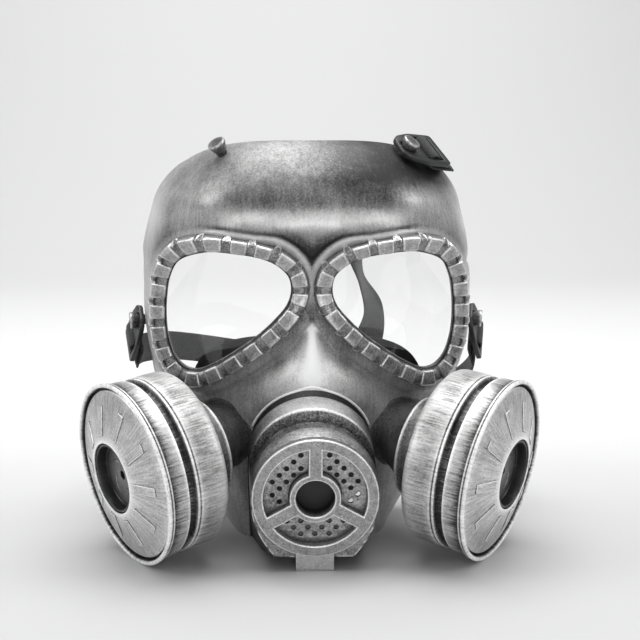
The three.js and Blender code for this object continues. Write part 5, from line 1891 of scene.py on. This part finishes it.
@dataclass
class Straps:
    """Webbing of the band behind the head and of the top strap."""

    wide: float = 17.0
    thick: float = 1.2
    step: float = 1.6
    width_weight: float = 12.0
    weave_rows: tuple[Point2, ...] = (
        # along the slide and out of it
        (31, -5.6), (22, -5.5), (16, -5.1), (12.9, -3.6), (11.75, -1.6), (11.6, 0.6), (11.95, 1.8),
        (12.9, 2.35), (14.2, 2.45), (15.5, 2.35), (16.45, 1.8), (16.8, 0.6), (16.9, -1), (17.8, -2.4),
        (20, -3.1), (25, -3.4),
    )
    band_rows: tuple[Point3, ...] = (
        (-96, 56, 84), (-84, 75, 82), (-66, 93, 77), (-44, 107, 71), (-22, 115.4, 66), (0, 119.1, 61),
        (22, 116.4, 55), (44, 108, 49), (66, 93, 47), (84, 74, 53), (96, 55, 68),
    )
    top_rows: Rows = (
        # point and direction of the width
        (71, 14, 199, 0.5, -0.4, -0.7), (63, 36, 188, 0.7, -0.2, -0.6), (45, 60, 166, 0.8, 0.2, -0.5),
        (33, 76, 145, 0.75, 0.6, 0), (36, 88, 120, 0.2, 0.95, 0.2), (44, 96, 99, 0.7, 0.6, 0.3),
        (42, 101, 80, 0.95, -0.1, 0.2), (37, 108, 62, 0.93, -0.34, 0), (36, 109, 45, 0.93, -0.34, 0),
    )

    def ribbon(self, name: str, centre: Array, width: Array) -> Piece:
        """Builds a flat strap along control rows.

        Args:
            name: Name of the strap.
            centre: Points of its middle line.
            width: Direction of its width at each of them.

        Returns:
            The strap.
        """
        form = Form()
        count = int(run_length(centre)[-1] / self.step) + 2
        line = through(np.column_stack([centre, unit(width) * self.width_weight]), count, False)
        p, w = line[:, :3], line[:, 3:]
        ahead = unit(np.gradient(p, axis=0))
        w = unit(w - np.sum(w * ahead, -1, keepdims=True) * ahead)
        n = unit(np.cross(ahead, w))
        run = run_length(p)
        half, thick = self.wide / 2, self.thick / 2
        edge = [(-half + 0.5, 1), (-half + 0.12, 0.7), (-half, 0), (-half + 0.12, -0.7), (-half + 0.5, -1)]
        inner = [-5.6, -2.8, 0, 2.8, 5.6]
        section = [(x, 1) for x in reversed(inner)] + edge
        section += [(x, -1) for x in inner] + [(-x, -y) for x, y in edge]
        rings = np.stack([p + w * x + n * (y * thick) for x, y in section], 1)
        along = np.stack([np.column_stack([run, np.full(len(run), x)]) for x, _ in section], 1)
        form.grid(rings, loop_columns=True, run=along)
        for ring, at in ((rings[0], along[0]), (rings[-1], along[-1])):
            form.cap(ring, run=np.vstack([at, at.mean(0)]))
        return form.mesh(name, 60)

    def lead(self, axes: Array) -> tuple[Array, Array]:
        """Line of the strap through a slide, and its width direction."""
        local = np.array([(a, 0.0, o) for a, o in self.weave_rows])
        return put(axes, local), np.broadcast_to(axes[:, 1], (len(local), 3))

    def band(self) -> Piece:
        """Builds the band from slide to slide round the back."""
        right, wide = self.lead(SIDE_SLIDE)
        left, left_wide = right * MIRROR, wide * MIRROR
        sign = np.sign(wide[0, 2])
        run = np.array(self.band_rows, float)
        turn = np.array([min(i, len(run) - 1 - i) + 1 for i in range(len(run))]) / 3
        near = np.where(run[:, :1] < 0, left_wide[0], wide[0]) * sign
        run_wide = (near + (np.array([0, 0, 1.0]) - near) * smooth(turn)[:, None]) * sign
        centre, width = np.vstack([left, run, right[::-1]]), np.vstack([left_wide, run_wide, wide[::-1]])
        return self.ribbon("band_strap", centre, width)

    def top(self) -> Piece:
        """Builds the strap from the top slide to the band."""
        lead, wide = self.lead(TOP_SLIDE)
        rows = np.array(self.top_rows, float)
        run_wide = unit(rows[:, 3:])
        run_wide = run_wide * np.sign(wide[0] @ run_wide[0])
        return self.ribbon("top_strap", np.vstack([lead, rows[:, :3]]), np.vstack([wide, run_wide]))


def look_from(name: str, data: bpy.types.ID, at: Sequence[float], toward: Sequence[float]) -> Piece:
    """Object at a place in metres that looks at another place."""
    made = bpy.data.objects.new(name, data)
    bpy.context.scene.collection.objects.link(made)
    made.location = Vector(at)
    made.rotation_mode = "QUATERNION"
    made.rotation_quaternion = (Vector(toward) - made.location).to_track_quat("-Z", "Y")
    return made


@dataclass(frozen=True)
class SoftLight:
    """Square soft light in metres and watts, which looks at the mask unless a place is given."""

    name: str
    at: Point3
    size: float
    watts: float
    toward: Point3 = (0.0, -0.02, 0.1)

    def hang(self) -> None:
        """Adds the light."""
        data = bpy.data.lights.new(self.name, "AREA")
        data.size, data.energy = self.size, self.watts
        look_from(self.name, data, self.at, self.toward)


@dataclass
class Studio:
    """Pale sweep, soft lights and the camera of the photograph."""

    camera_at: Point3 = (-28.3, -754.9, 240.5)
    target: Point3 = (0.0, -18.7, 100.0)
    lens: float = 78.75
    sensor: float = 36.0
    shift: Point2 = (0.0172, 0.0375)
    clip: Point2 = (0.01, 20)
    half_width: float = 3500.0
    front: float = -3000.0
    bend_at: float = 900.0
    bend_radius: float = 700.0
    wall_high: float = 3500.0
    floor_color: tuple[float, ...] = (0.46, 0.46, 0.463, 1)
    floor_rough: float = 0.6
    air_color: tuple[float, ...] = (0.95, 0.97, 1.0, 1)
    air_strength: float = 0.05
    soft_lights: tuple[SoftLight, ...] = (
        SoftLight("overhead", (0.0, 0.12, 1.4), 1.2, 28),
        SoftLight("front_top", (0.0, -1.1, 1.25), 0.8, 2.5),
        SoftLight("front_card", (0.0, -2.0, 0.45), 0.9, 11),
        SoftLight("left_box", (-1.4, -0.3, 0.9), 1.0, 12.5),
        SoftLight("right_box", (1.4, -0.3, 0.9), 1.0, 12),
        SoftLight("backdrop", (0.0, 0.45, 1.1), 1.7, 17, (0.0, 1.65, 0.5)),
    )

    def camera(self) -> None:
        """Sets the camera."""
        data = bpy.data.cameras.new("camera")
        data.sensor_width, data.lens = self.sensor, self.lens
        data.shift_x, data.shift_y = self.shift
        data.clip_start, data.clip_end = self.clip
        at, toward = Vector(self.camera_at) * MM, Vector(self.target) * MM
        bpy.context.scene.camera = look_from("camera", data, at, toward)

    def sweep(self) -> None:
        """Builds the floor that curves up behind the mask."""
        bend = np.linspace(0.1, math.pi / 2, 12)
        back = self.bend_at + self.bend_radius * np.sin(bend)
        y = np.concatenate([np.linspace(self.front, self.bend_at, 14), back, [self.bend_at + self.bend_radius]])
        z = np.concatenate([np.zeros(14), self.bend_radius * (1 - np.cos(bend)), [self.wall_high]])
        x = np.linspace(-self.half_width, self.half_width, 8)
        form = Form()
        form.grid(np.stack([np.stack([np.full(len(y), v), y, z], -1) for v in x]))
        floor = form.mesh("floor", 180)
        material, book, shader = new_material("pale_floor")
        book.feed(shader, {"Base Color": self.floor_color, "Roughness": self.floor_rough})
        floor.data.materials.append(material)

    def lights(self) -> None:
        """Sets the soft lights and the pale surroundings."""
        scene = bpy.context.scene
        scene.world = bpy.data.worlds.new("studio")
        scene.world.use_nodes = True
        tree = scene.world.node_tree
        NodeBook(tree).feed(tree.nodes["Background"], {0: self.air_color, 1: self.air_strength})
        for light in self.soft_lights:
            light.hang()
        scene.view_settings.view_transform = "Standard"
        scene.view_settings.look = "None"


def main() -> None:
    """Builds the mask piece by piece and the studio round it."""
    logging.basicConfig(level=logging.INFO, format="%(message)s")
    LOG.info("frame: %d nodes", len(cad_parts))
    studio = Studio()
    studio.camera()
    studio.sweep()
    studio.lights()
    looks = {slot: finish.make() for slot, finish in FINISHES.items()}

    hand_over(Shell().build(), looks, "shell_paint", "shell")
    for side in Side:
        hand_over(EyeRim().build(side), looks, "rim_paint", f"eye_rim_{side.word}")
        hand_over(Lens().build(side), looks, "clear_lens", f"lens_{side.word}")
    hand_over(NoseCup().build(), looks, "rubber", "nose_cup")
    hand_over(Muzzle().build(), looks, "muzzle_paint", "muzzle")
    hand_over(Valve().cover(), looks, "valve_paint", "valve_cover")
    hand_over(Valve().plate(), looks, "plate_paint", "valve_plate")
    slots = {"rear": "canister_paint", "front": "canister_paint", "face": "face_paint", "well": "well_paint"}
    for side in Side:
        for piece, word in Canister().build(side):
            hand_over(piece, looks, slots[word], f"canister_{side.word}_{word}")
    for name, seat, mirror in (
        ("stud_top_left", TOP_LEFT_SEAT, False), ("stud_top_right", TOP_SEAT, False),
        ("stud_side_left", SIDE_SEAT, True), ("stud_side_right", SIDE_SEAT, False),
    ):
        hand_over(Stud().build(name, seat, mirror), looks, "stud_paint", name)
    for name, axes, mirror in (
        ("buckle_top_right", TOP_SLIDE, False), ("buckle_side_left", SIDE_SLIDE, True),
        ("buckle_side_right", SIDE_SLIDE, False),
    ):
        hand_over(Slide().build(name, axes, mirror), looks, "buckle_plastic", name)
    hand_over(Straps().band(), looks, "webbing", "band_strap")
    hand_over(Straps().top(), looks, "webbing", "top_strap")


if __name__ == "__main__":
    main()
